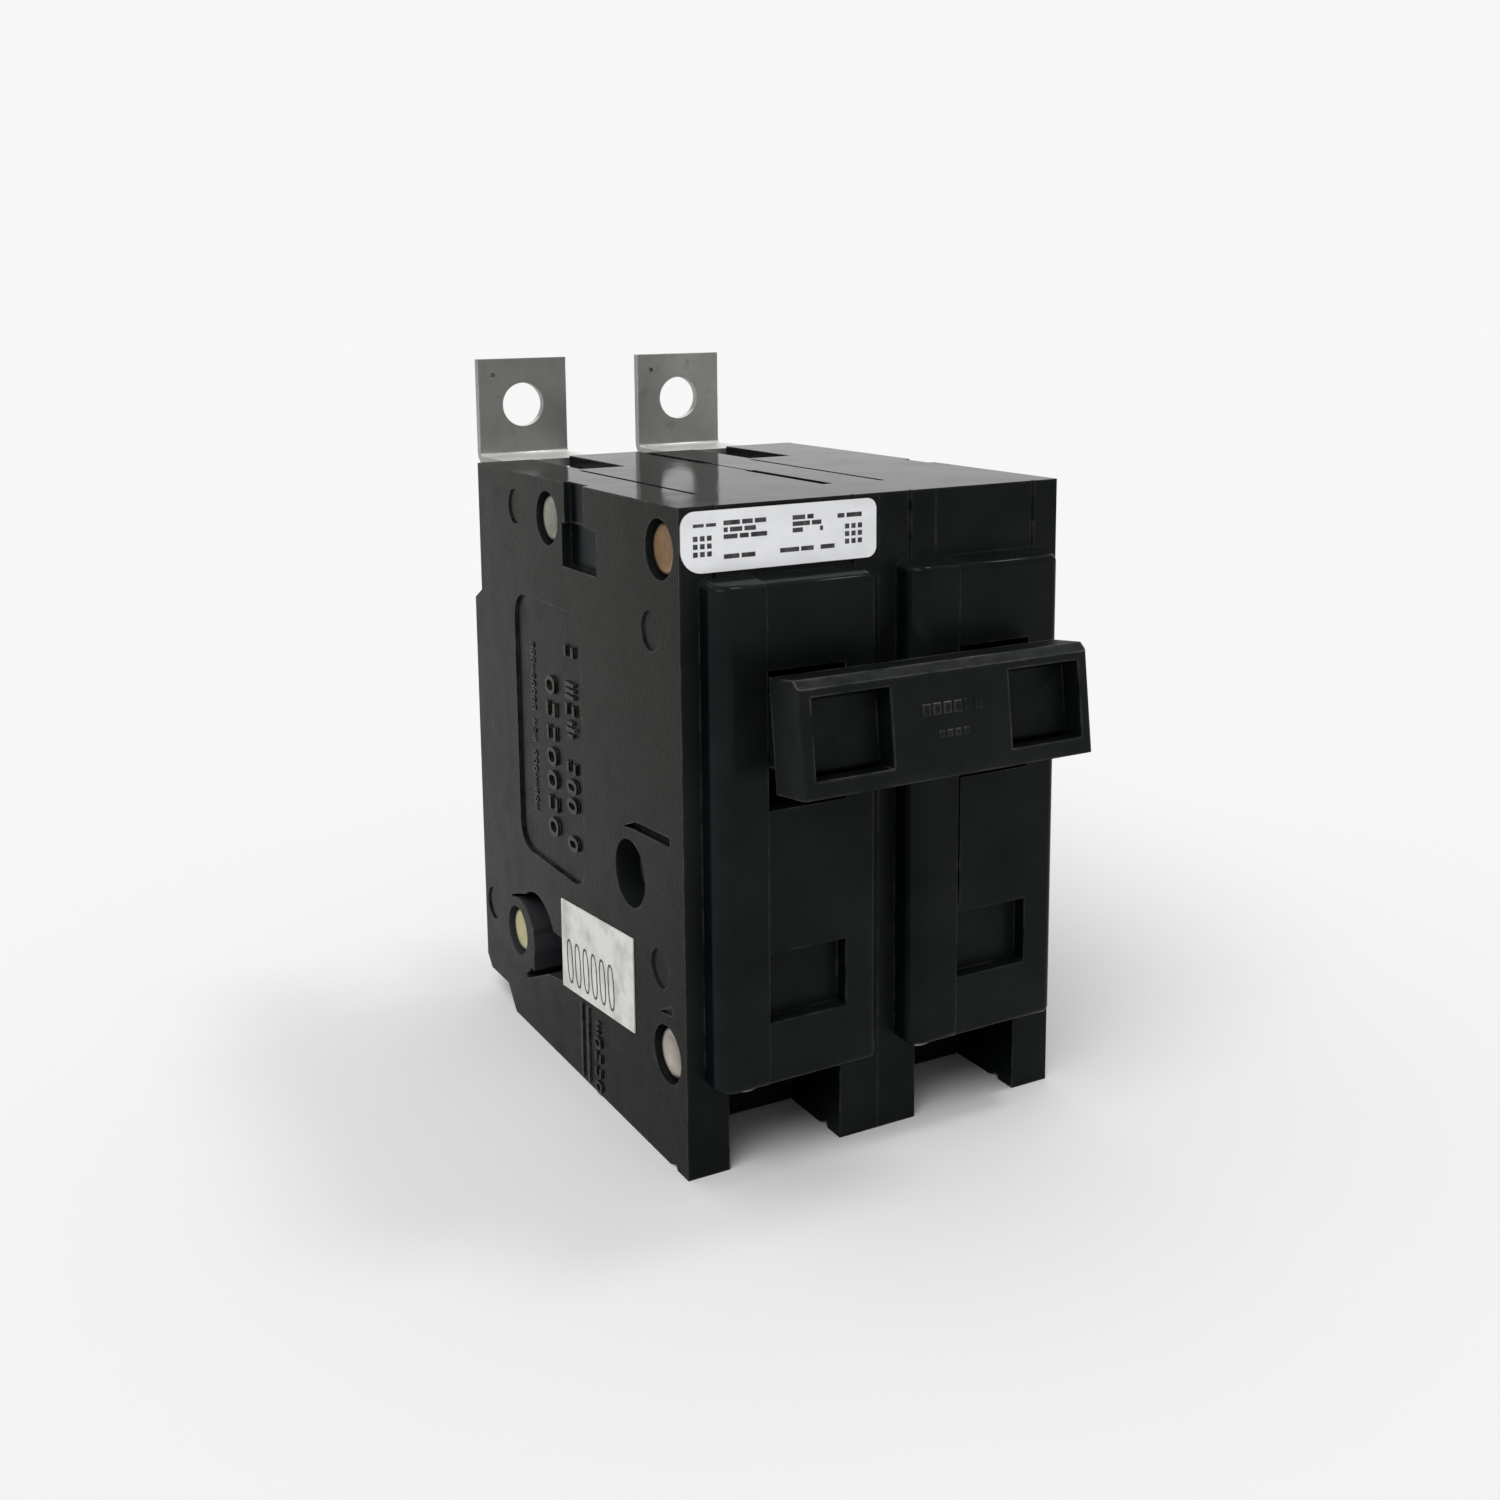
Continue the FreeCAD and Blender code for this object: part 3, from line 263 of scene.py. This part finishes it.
def moulded_handle():
    """Matt black moulding, rubbed lighter at its corners, with a painted highlight strongest on the edges that
    face up.
    """
    made, shader = start_material("moulded_handle", Specular_IOR_Level=0.15)
    cloud = remap(made, noise(made, 220, 5.0), 0.3, 0.7)
    base = blend_colour(made, cloud, (0.0018, 0.0032, 0.0033), (0.0040, 0.0055, 0.0053))
    # Wear and painted highlight: edges are lighter, most where they face up and catch the light.
    upward = remap(made, axis_of(made, "Normal", "Z"), 0.3, 0.8, 0.25, 1.0)
    wear_and_highlight = maths(made, "MULTIPLY", edge_mask(made, 0.0005, 1.0, 220), upward)
    base = blend_colour(made, wear_and_highlight, base, (0.32, 0.32, 0.31))
    join(made, base, shader.inputs["Base Color"])
    join(made, remap(made, noise(made, 500, 4.0), 0.3, 0.7, 0.42, 0.6), shader.inputs["Roughness"])
    join(made, bump(made, noise(made, 2400, 3.0), 0.4, 0.00008), shader.inputs["Normal"])
    return made


def moulded_insulator():
    """Dull dark brown moulding, for the trip bar."""
    made, shader = start_material("moulded_insulator")
    cloud = remap(made, noise(made, 400, 4.0), 0.3, 0.7)
    base = blend_colour(made, cloud, (0.03, 0.027, 0.024), (0.06, 0.054, 0.048))
    join(made, base, shader.inputs["Base Color"])
    join(made, remap(made, noise(made, 700), 0.3, 0.7, 0.5, 0.7), shader.inputs["Roughness"])
    join(made, bump(made, noise(made, 2600), 0.4, 0.00008), shader.inputs["Normal"])
    return made


def metal(name, dark, light, rough, grain=(1, 1, 1), stain=None):
    """Plated or bare metal: clouded tone, brushed grain along its stretch, optional stains."""
    made, shader = start_material(name, Metallic=1.0)
    base = blend_colour(made, remap(made, noise(made, 150, 6.0), 0.3, 0.7), dark, light)
    if stain:
        spots = remap(made, noise(made, 420, 5.0, offset=1.7), 0.56, 0.72, 0.0, 0.7)
        base = blend_colour(made, spots, base, stain)
    join(made, base, shader.inputs["Base Color"])
    lines = noise(made, 900, 3.0, stretch=grain)
    join(made, remap(made, lines, 0.3, 0.7, rough[0], rough[1]), shader.inputs["Roughness"])
    join(made, bump(made, lines, 0.35, 0.00005), shader.inputs["Normal"])
    return made


def tinned_copper():
    """Dull rolled tin plate, with its faces that look up, where the strap lies flat, painted near white as a
    painted highlight.
    """
    made, shader = start_material("tinned_copper", Metallic=0.75)
    cloud = remap(made, noise(made, 120, 6.0), 0.3, 0.7)
    dull = blend_colour(made, cloud, (0.25, 0.25, 0.235), (0.34, 0.34, 0.315))
    spots = remap(made, noise(made, 420, 5.0, offset=1.7), 0.58, 0.74, 0.0, 0.6)
    dull = blend_colour(made, spots, dull, (0.17, 0.17, 0.155))
    # Painted highlight: faces that look up are painted near white, as where the light above falls on them.
    painted_highlight_upward = remap(made, axis_of(made, "Normal", "Z"), 0.5, 0.95)
    base = blend_colour(made, painted_highlight_upward, dull, (0.92, 0.92, 0.90))
    base = blend_colour(made, edge_mask(made, 0.0003, 0.8), base, (0.8, 0.8, 0.78))
    join(made, base, shader.inputs["Base Color"])
    lines = noise(made, 1400, 3.0, stretch=(1, 1, 0.12))
    join(made, remap(made, lines, 0.3, 0.7, 0.36, 0.5), shader.inputs["Roughness"])
    join(made, bump(made, lines, 0.3, 0.00004), shader.inputs["Normal"])
    return made


def braided_copper():
    """Copper with two sets of slanting strands."""
    made, shader = start_material("copper_braid", Metallic=1.0)
    cloud = remap(made, noise(made, 500, 4.0), 0.3, 0.7)
    base = blend_colour(made, cloud, (0.42, 0.20, 0.11), (0.72, 0.40, 0.25))
    join(made, base, shader.inputs["Base Color"])
    shader.inputs["Roughness"].default_value = 0.38
    coordinates = add(made, "ShaderNodeTexCoord")
    strands = []
    for slope in (0.7, -0.7):
        turned = add(made, "ShaderNodeMapping")
        turned.inputs["Rotation"].default_value = (slope, 0, 0)
        wave = add(made, "ShaderNodeTexWave", bands_direction="Z")
        wave.inputs["Scale"].default_value = 700
        join(made, coordinates.outputs["Object"], turned.inputs["Vector"])
        join(made, turned.outputs["Vector"], wave.inputs["Vector"])
        strands.append(wave.outputs["Fac"])
    woven = maths(made, "MAXIMUM", strands[0], strands[1])
    join(made, bump(made, woven, 0.8, 0.0002), shader.inputs["Normal"])
    return made


def vulcanised_fibre():
    """Brown pressed fibre, for the arc chute's walls."""
    made, shader = start_material("vulcanised_fibre", Specular_IOR_Level=0.3)
    fibres = noise(made, 500, 5.0, stretch=(1, 1, 4))
    base = blend_colour(made, remap(made, fibres, 0.3, 0.7), (0.24, 0.14, 0.10), (0.40, 0.27, 0.20))
    join(made, base, shader.inputs["Base Color"])
    shader.inputs["Roughness"].default_value = 0.7
    join(made, bump(made, fibres, 0.4, 0.0001), shader.inputs["Normal"])
    return made


def foil_label():
    """Silver label stock: a satin foil with faint smears."""
    made, shader = start_material("foil_label", Metallic=0.45, Specular_IOR_Level=0.5)
    smear = remap(made, noise(made, 260, 5.0, stretch=(0.4, 1, 1)), 0.35, 0.7)
    base = blend_colour(made, smear, (0.96, 0.97, 0.99), (0.82, 0.83, 0.85))
    join(made, base, shader.inputs["Base Color"])
    join(made, remap(made, noise(made, 600, 4.0), 0.3, 0.7, 0.28, 0.42), shader.inputs["Roughness"])
    join(made, bump(made, noise(made, 220, 2.0), 0.3, 0.00008), shader.inputs["Normal"])
    return made


def paper_label():
    """Uncoated paper, a little grey and soiled."""
    made, shader = start_material("paper_label", Specular_IOR_Level=0.2)
    soil = remap(made, noise(made, 330, 6.0), 0.42, 0.75)
    base = blend_colour(made, soil, (0.70, 0.695, 0.67), (0.44, 0.435, 0.41))
    join(made, base, shader.inputs["Base Color"])
    shader.inputs["Roughness"].default_value = 0.75
    fibres = bump(made, noise(made, 2800, 3.0), 0.35, 0.00005)
    join(made, bump(made, noise(made, 180, 2.0), 0.4, 0.0001, fibres), shader.inputs["Normal"])
    return made


def ink():
    """Black print with an uneven edge to its tone."""
    made, shader = start_material("label_ink", Specular_IOR_Level=0.2)
    patches = remap(made, noise(made, 1500, 3.0), 0.35, 0.65)
    base = blend_colour(made, patches, (0.035, 0.035, 0.038), (0.09, 0.09, 0.095))
    join(made, base, shader.inputs["Base Color"])
    shader.inputs["Roughness"].default_value = 0.6
    return made


STEEL = metal("plated_steel", (0.40, 0.40, 0.38), (0.62, 0.62, 0.58), (0.28, 0.45))
COPPER = metal("copper", (0.55, 0.27, 0.16), (0.80, 0.47, 0.31), (0.25, 0.42), stain=(0.22, 0.11, 0.07))
MATERIALS = {
    "moulded_case": moulded_case(),
    "moulded_handle": moulded_handle(),
    "moulded_insulator": moulded_insulator(),
    "tinned_copper": tinned_copper(),
    "copper": COPPER,
    "copper_braid": braided_copper(),
    "silver_alloy": metal("silver_alloy", (0.70, 0.69, 0.66), (0.86, 0.85, 0.82), (0.22, 0.36)),
    "plated_steel": STEEL,
    "spring_steel": metal("spring_steel", (0.24, 0.24, 0.25), (0.36, 0.36, 0.37), (0.25, 0.4)),
    "bimetal_strip": metal("bimetal_strip", (0.42, 0.40, 0.35), (0.56, 0.53, 0.47), (0.3, 0.45),
                           grain=(1, 1, 0.1)),
    "brass_screw": metal("brass_screw", (0.55, 0.42, 0.18), (0.75, 0.60, 0.30), (0.22, 0.36)),
    "vulcanised_fibre": vulcanised_fibre(),
    "rivet_metal": metal("rivet_metal", (0.5, 0.49, 0.46), (0.7, 0.69, 0.65), (0.3, 0.45)),
    "foil_label": foil_label(),
    "paper_label": paper_label(),
}
INK = ink()

for subpart in frame["record"]["subparts"]:
    node = frame["nodes"][subpart["node"]]
    node.material_slots[0].material = MATERIALS[subpart["material_slot"]]


# ---- broken edges on the CAD nodes -------------------------------------------------------------

def break_edges(name, width):
    """Rounds a CAD node's sharp edges by a width in millimetres, as a mould or a press leaves them."""
    node = frame["nodes"][name]
    weld = node.modifiers.new("weld", "WELD")
    weld.merge_threshold = 1e-6
    rounding = node.modifiers.new("rounding", "BEVEL")
    rounding.width = width * MM
    rounding.segments = 2
    rounding.limit_method = "ANGLE"
    rounding.angle_limit = math.radians(32)
    rounding.harden_normals = True


for side in SIDES:
    for name, width in (("cover", 0.22), ("base", 0.22), ("handle", 0.25), ("line_terminal", 0.12),
                        ("wire_cage", 0.2), ("load_strap", 0.12), ("contact_arm", 0.12), ("cradle", 0.1),
                        ("armature", 0.1), ("magnet_yoke", 0.12), ("bimetal", 0.08), ("arc_plates", 0.08),
                        ("arc_chute_frame", 0.08), ("moving_contact", 0.15), ("fixed_contact", 0.15),
                        ("cradle_pin", 0.15), ("armature_pin", 0.15), ("calibration_screw", 0.12),
                        ("terminal_screw", 0.2)):
        break_edges(name + "_" + side, width)
break_edges("handle_tie", 0.3)
break_edges("trip_bar", 0.2)


# ---- mesh helpers ------------------------------------------------------------------------------

ACROSS = Vector((1, 0, 0))
UP = Vector((0, 0, 1))
RIGHT_OF_SIDE = Vector((0, -1, 0))


def piece(name, mesh_data, body, material, replaces=(), smooth_below=None):
    """Turns a bmesh into a piece of the object that rides on a body."""
    mesh = bpy.data.meshes.new(name)
    bmesh.ops.recalc_face_normals(mesh_data, faces=mesh_data.faces)
    mesh_data.to_mesh(mesh)
    mesh_data.free()
    if smooth_below is not None:
        mesh.shade_smooth()
        mesh.set_sharp_from_angle(angle=math.radians(smooth_below))
    made = bpy.data.objects.new(name, mesh)
    bpy.context.scene.collection.objects.link(made)
    mesh.materials.append(material)
    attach(made, body)
    if replaces:
        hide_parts(*replaces)
    return made


def raise_outline(mesh_data, outline, centre, right, up, height, slope=0.0):
    """A low raised shape over a flat face: outline points are (u, v) millimetres about centre."""
    out = right.cross(up)
    rings = []
    for rise, inset in ((0.0, 0.0), (height, slope)):
        ring = []
        for u, v in outline:
            reach = math.hypot(u, v) or 1.0
            shrink = 1.0 - inset / reach
            offset = right * u * shrink + up * v * shrink + out * rise
            ring.append(mesh_data.verts.new(centre + offset * MM))
        rings.append(ring)
    count = len(outline)
    for index in range(count):
        following = (index + 1) % count
        mesh_data.faces.new((rings[0][index], rings[0][following], rings[1][following], rings[1][index]))
    mesh_data.faces.new(rings[1])
    mesh_data.faces.new(rings[0][::-1])


def rectangle(width, height):
    return [(width / 2 * u, height / 2 * v) for u, v in ((-1, -1), (1, -1), (1, 1), (-1, 1))]


def ring_shape(mesh_data, centre, right, up, width, height, stroke, rise):
    """A closed oval stroke standing on a face."""
    out = right.cross(up)
    steps = 28
    loops = []
    for grow, lift in ((0.0, 0.0), (0.0, rise), (-stroke, rise), (-stroke, 0.0)):
        loop = []
        for step in range(steps):
            turn = 2 * math.pi * step / steps
            u = (width / 2 + grow) * math.copysign(abs(math.cos(turn)) ** 0.8, math.cos(turn))
            v = (height / 2 + grow) * math.copysign(abs(math.sin(turn)) ** 0.8, math.sin(turn))
            loop.append(mesh_data.verts.new(centre + (right * u + up * v + out * lift) * MM))
        loops.append(loop)
    for index, loop in enumerate(loops):
        following = loops[(index + 1) % len(loops)]
        for step in range(steps):
            after = (step + 1) % steps
            mesh_data.faces.new((loop[step], loop[after], following[after], following[step]))


def lathe(mesh_data, profile, centre, axis, segments):
    """Turns a profile of (distance along the axis, radius) in millimetres about the axis."""
    axis = axis.normalized()
    first = axis.orthogonal().normalized()
    second = axis.cross(first)
    rings = []
    for along, radius in profile:
        if radius == 0:
            rings.append([mesh_data.verts.new(centre + axis * along * MM)])
            continue
        ring = []
        for step in range(segments):
            turn = 2 * math.pi * step / segments
            spoke = first * math.cos(turn) + second * math.sin(turn)
            ring.append(mesh_data.verts.new(centre + (axis * along + spoke * radius) * MM))
        rings.append(ring)
    for low, high in zip(rings, rings[1:]):
        for step in range(segments):
            after = (step + 1) % segments
            if len(low) == 1:
                mesh_data.faces.new((low[0], high[after], high[step]))
            elif len(high) == 1:
                mesh_data.faces.new((low[step], low[after], high[0]))
            else:
                mesh_data.faces.new((low[step], low[after], high[after], high[step]))


def tube(mesh_data, points, radius, sides=10):
    """A closed round tube through a list of points, all in metres."""
    rings = []
    guide = (points[1] - points[0]).orthogonal().normalized()
    for index, point in enumerate(points):
        before = points[max(index - 1, 0)]
        after = points[min(index + 1, len(points) - 1)]
        along = (after - before).normalized()
        guide = (guide - along * guide.dot(along)).normalized()
        other = along.cross(guide)
        ring = []
        for side_index in range(sides):
            turn = 2 * math.pi * side_index / sides
            spoke = guide * math.cos(turn) + other * math.sin(turn)
            ring.append(mesh_data.verts.new(point + spoke * radius))
        rings.append(ring)
    for low, high in zip(rings, rings[1:]):
        for side_index in range(sides):
            following = (side_index + 1) % sides
            mesh_data.faces.new((low[side_index], low[following], high[following], high[side_index]))
    mesh_data.faces.new(rings[0][::-1])
    mesh_data.faces.new(rings[-1])


# ---- rivets ------------------------------------------------------------------------------------

RIVET_ROUGHNESS = (0.35, 0.55)
RIVETS = {
    "rivet_top_back": (-24.1, 71.2, metal("rivet_silver", (0.21, 0.225, 0.18), (0.33, 0.345, 0.285),
                                          RIVET_ROUGHNESS)),
    "rivet_top_front": (-55.5, 71.2, metal("rivet_copper", (0.12, 0.065, 0.03), (0.33, 0.21, 0.12),
                                           RIVET_ROUGHNESS)),
    "rivet_low_front": (-55.5, 13.2, metal("rivet_pinkish", (0.30, 0.26, 0.225), (0.52, 0.465, 0.41),
                                           RIVET_ROUGHNESS)),
    "rivet_heel": (-9.7, 12.4, metal("rivet_brass", (0.34, 0.32, 0.17), (0.62, 0.59, 0.36),
                                     RIVET_ROUGHNESS)),
}
SEAT = 1.6
HEAD_RADIUS = 2.9
SHANK_RADIUS = 1.6
# The rolled head with its shallow crater: (rise over the seat, radius).
HEAD_PROFILE = ((0.62, 0), (0.66, 1.1), (0.8, 1.6), (0.96, 2.0), (1.0, 2.35), (0.92, 2.7),
                (0.7, HEAD_RADIUS), (0.12, HEAD_RADIUS), (0.0, HEAD_RADIUS - 0.12))


def build_rivets():
    """Each rivet is turned: a shank through both poles and a rolled head at each end."""
    left_end = [(SEAT - rise, radius) for rise, radius in HEAD_PROFILE] + [(SEAT, SHANK_RADIUS)]
    right_seat = 2 * POLE - SEAT
    right_end = [(right_seat + rise, radius) for rise, radius in HEAD_PROFILE] + [(right_seat, SHANK_RADIUS)]
    for name, (y, z, material) in RIVETS.items():
        made = bmesh.new()
        lathe(made, left_end + right_end[::-1], place(0, y, z), ACROSS, 48)
        piece(name, made, "case", material, ("rivets",), 50)


build_rivets()


# ---- springs and threads -----------------------------------------------------------------------

def helix(centre_from, centre_to, radius, turns):
    """Points of a helix about the line between two points, in metres."""
    steps = 20
    axis = centre_to - centre_from
    first = axis.orthogonal().normalized()
    second = axis.normalized().cross(first)
    points = []
    for step in range(turns * steps + 1):
        turn = 2 * math.pi * step / steps
        spoke = (first * math.cos(turn) + second * math.sin(turn)) * radius
        points.append(centre_from + axis * step / (turns * steps) + spoke)
    return points


def long_axis(name):
    """The two end centres of a slender node, from its own vertices."""
    corners = [Vector(vertex.co) for vertex in frame["nodes"][name].data.vertices]
    middle = sum(corners, Vector()) / len(corners)
    far = max(corners, key=lambda corner: (corner - middle).length)
    other = max(corners, key=lambda corner: (corner - far).length)
    axis = (far - other).normalized()
    reaches = [(corner - middle).dot(axis) for corner in corners]
    return middle + axis * min(reaches), middle + axis * max(reaches)


def build_toggle_springs():
    """A close coil in place of each spring's plain cylinder."""
    wire, coil_radius, turns = 0.2 * MM, 0.95 * MM, 16
    for side in SIDES:
        low, high = long_axis("toggle_spring_" + side)
        inset = (high - low).normalized() * wire
        made = bmesh.new()
        tube(made, helix(low + inset, high - inset, coil_radius, turns), wire)
        piece("toggle_spring_coil_" + side, made, "cradle_" + side,
              MATERIALS["spring_steel"], ("toggle_spring_" + side,), 60)


def build_threads():
    """The terminal screws' threads, a ridge along the shank behind the head."""
    head, tip, crest, turns = 3.4 * MM, 0.5 * MM, 2.28 * MM, 9
    for side in SIDES:
        low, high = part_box("terminal_screw_" + side)
        x = (low.x + high.x) / 2
        z = (low.z + high.z) / 2
        made = bmesh.new()
        start = Vector((x, high.y - tip, z))
        tube(made, helix(start, Vector((x, low.y + head, z)), crest, turns), 0.15 * MM, 6)
        piece("terminal_thread_" + side, made, "terminal_screw_" + side, STEEL, (), 60)


build_threads()


# ---- mouldings in relief -----------------------------------------------------------------------

def relief_block(made, centre, width, height, rise):
    """One plain raised figure: a ring, a stack of strokes, or two strokes side by side."""
    stroke = 0.17 * width
    kind = random.choice(("ring", "stack", "pair", "ring"))
    if kind == "ring":
        ring_shape(made, centre, RIGHT_OF_SIDE, UP, width, height, stroke, rise)
    elif kind == "stack":
        for share in (-0.42, 0.0, 0.42):
            raise_outline(made, rectangle(width * random.choice((0.55, 0.95)), stroke),
                          centre + UP * share * height * MM, RIGHT_OF_SIDE, UP, rise, stroke * 0.2)
    else:
        for share in (-0.36, 0.36):
            raise_outline(made, rectangle(stroke * 1.4, height * 0.8),
                          centre + RIGHT_OF_SIDE * share * width * MM, RIGHT_OF_SIDE, UP, rise, stroke * 0.2)


def relief_column(made, face_x, y, low, high, width, height, rise):
    """A vertical run of plain raised figures, standing where a moulder's text would."""
    z = low
    while z < high:
        if random.random() > 0.1:
            relief_block(made, place(face_x, y, z), width, height, rise)
        z += height * 1.3


def build_side_relief():
    """Three columns of raised figures in the side's panel, and one beside two ribs under the date label."""
    made = bmesh.new()
    recess_floor = 0.4
    relief_column(made, recess_floor, -17.2, 32, 54, 1.2, 0.8, 0.15)
    relief_column(made, recess_floor, -23.4, 31, 55, 3.0, 2.4, 0.35)
    relief_column(made, recess_floor, -29.6, 28, 57, 3.0, 1.9, 0.35)
    relief_column(made, 0.0, -36.4, 1.0, 9.6, 1.8, 1.5, 0.25)
    for y in (-31.5, -33.4):
        raise_outline(made, rectangle(0.5, 10.0), place(0, y, 5.4), RIGHT_OF_SIDE, UP, 0.2, 0.12)
    piece("side_relief", made, "case", moulded_relief())


build_side_relief()


# ---- handle tie --------------------------------------------------------------------------------

def build_tie_relief():
    """Two short rows of plain blocks in relief between the tie's windows."""
    handle = next(joint for joint in frame["joints"] if joint["name"] == "handle_pivot")
    pivot = Vector(handle["pos_m"])
    tilt = math.radians(-7)
    outward = Vector((0, -math.cos(tilt), -math.sin(tilt)))
    upward = Vector((0, -math.sin(tilt), math.cos(tilt)))
    front = 19.5
    gap = 0.32
    off_centre = 0.9
    made = bmesh.new()
    for row, count, block, height in ((1.3, 6, 1.05, 1.3), (-1.5, 4, 0.75, 0.8)):
        pitch = block + gap
        for index in range(count):
            x = (index - (count - 1) / 2) * pitch + off_centre
            centre = pivot + outward * front * MM + upward * row * MM + ACROSS * x * MM
            raise_outline(made, rectangle(block, height), centre, ACROSS, upward, 0.1, 0.06)
    piece("tie_relief", made, "handle_assembly", MATERIALS["moulded_handle"])


build_tie_relief()


# ---- labels ------------------------------------------------------------------------------------

INK_RISE = 0.02


def build_rating_print():
    """Rows of plain bars in place of the label's text, and two blocks of small squares."""
    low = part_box("rating_label")[0]
    front = low.y
    word_gap = 0.28
    square, square_pitch = 0.55, 0.85
    made = bmesh.new()

    def bar(x, z, width, height):
        centre = Vector((low.x + x * MM, front, low.z + z * MM))
        raise_outline(made, rectangle(width, height), centre, ACROSS, UP, INK_RISE)

    def line_of_bars(x, z, widths, height=0.5):
        for width in widths:
            bar(x + width / 2, z, width, height)
            x += width + word_gap

    line_of_bars(1.5, 5.15, (1.3, 1.2), 0.36)
    for z, widths in ((5.25, (2.0, 1.3, 1.4)), (4.5, (0.5, 1.5, 1.4)), (3.75, (1.7, 1.1, 2.0)),
                      (1.6, (1.9, 1.7))):
        line_of_bars(5.2, z, widths)
    for z, widths in ((5.2, (1.6, 0.8)), (4.5, (2.2, 1.2)), (3.8, (1.3,))):
        line_of_bars(13.8, z, widths)
    line_of_bars(17.3, 3.8, (0.4,))
    line_of_bars(12.2, 1.7, (2.4, 1.6))
    line_of_bars(17.4, 1.7, (1.8,))
    line_of_bars(19.6, 5.0, (0.9, 2.0))
    for x in (2.6, 21.7):
        for column in (-1, 0, 1):
            for row in (-1, 0, 1):
                bar(x + column * square_pitch, 2.9 + row * square_pitch, square, square)
    piece("rating_print", made, "case", INK)


def build_date_print():
    """A row of plain ovals, one for each figure of a date stamp."""
    low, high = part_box("date_label")
    tilt = math.radians(4.8)
    right = Vector((0, -math.cos(tilt), math.sin(tilt)))
    up = Vector((0, math.sin(tilt), math.cos(tilt)))
    centre = (low + high) / 2
    centre.x = low.x
    pitch, off_centre, drop = 2.5, -2.1, 2.0
    width, height, stroke = 1.85, 5.8, 0.3
    made = bmesh.new()
    for index in range(6):
        shift = (index - 2.5) * pitch + off_centre
        middle = centre + (right * shift - up * drop) * MM
        ring_shape(made, middle, right, up, width, height, stroke, INK_RISE)
    piece("date_print", made, "case", INK)


build_rating_print()
build_date_print()
build_toggle_springs()


# ---- floor, light and camera -------------------------------------------------------------------

WORLD_FRONT = 0.35
WORLD_BEHIND = 0.78
BACKDROP = 0.93
CAMERA_PLACE = (-78.79, -215.28, 97.87)


def build_floor():
    """A pale, matt floor under the object, 8 m across."""
    mesh_data = bmesh.new()
    bmesh.ops.create_grid(mesh_data, x_segments=1, y_segments=1, size=4.0)
    mesh = bpy.data.meshes.new("floor")
    mesh_data.to_mesh(mesh)
    mesh_data.free()
    floor = bpy.data.objects.new("floor", mesh)
    floor.location.z = cad_box[0][2]
    bpy.context.scene.collection.objects.link(floor)
    made = start_material("studio_floor", Base_Color=(0.86, 0.86, 0.86, 1.0), Roughness=1.0,
                          Specular_IOR_Level=0.0)[0]
    mesh.materials.append(made)


def build_light():
    """A broad sun for soft shadows, a narrow one for glints, and a world that is brighter behind."""
    for name, energy, angle, travel in (("studio_sun", 1.5, 40, (0.62, 0.45, -1.0)),
                                        ("glint_sun", 0.5, 12, (-0.46, 0.05, -0.89))):
        sun = bpy.data.lights.new(name, "SUN")
        sun.energy = energy
        sun.angle = math.radians(angle)
        lamp = bpy.data.objects.new(name, sun)
        lamp.rotation_euler = Vector(travel).to_track_quat("-Z", "Y").to_euler()
        bpy.context.scene.collection.objects.link(lamp)
    world = bpy.data.worlds.new("studio")
    bpy.context.scene.world = world
    world.use_nodes = True
    nodes = world.node_tree.nodes
    links = world.node_tree.links
    coordinates = nodes.new("ShaderNodeTexCoord")
    split = nodes.new("ShaderNodeSeparateXYZ")
    links.new(coordinates.outputs["Generated"], split.inputs["Vector"])
    spread = nodes.new("ShaderNodeMapRange")
    spread.inputs["From Min"].default_value = -0.5
    spread.inputs["From Max"].default_value = 0.5
    spread.inputs["To Min"].default_value = WORLD_FRONT
    spread.inputs["To Max"].default_value = WORLD_BEHIND
    links.new(split.outputs["Y"], spread.inputs["Value"])
    sight = nodes.new("ShaderNodeLightPath")
    mix = nodes.new("ShaderNodeMix")
    mix.inputs[3].default_value = BACKDROP
    links.new(sight.outputs["Is Camera Ray"], mix.inputs["Factor"])
    links.new(spread.outputs["Result"], mix.inputs[2])
    links.new(mix.outputs[0], nodes["Background"].inputs["Strength"])
    nodes["Background"].inputs["Color"].default_value = (1, 1, 1, 1)


def build_camera():
    """The photograph's viewpoint: to the left of the front, a little above, about 0.2 m away."""
    turn = math.radians(27.93)
    down = math.radians(8.90)
    roll = math.radians(-0.752)
    forward = Vector((math.sin(turn) * math.cos(down), math.cos(turn) * math.cos(down), -math.sin(down)))
    level = Vector((math.cos(turn), -math.sin(turn), 0))
    above = level.cross(forward)
    right = level * math.cos(roll) + above * math.sin(roll)
    up = above * math.cos(roll) - level * math.sin(roll)
    camera = bpy.data.cameras.new("camera")
    camera.lens = 39.93
    camera.sensor_width = 36
    camera.shift_x = 0.0287
    camera.shift_y = -0.1267
    camera.clip_start = 0.01
    holder = bpy.data.objects.new("camera", camera)
    rotation = Matrix((right, up, -forward)).transposed().to_4x4()
    holder.matrix_world = Matrix.Translation(place(*CAMERA_PLACE)) @ rotation
    bpy.context.scene.collection.objects.link(holder)
    bpy.context.scene.camera = holder


build_floor()
build_light()
build_camera()
bpy.context.scene.view_settings.view_transform = "Standard"
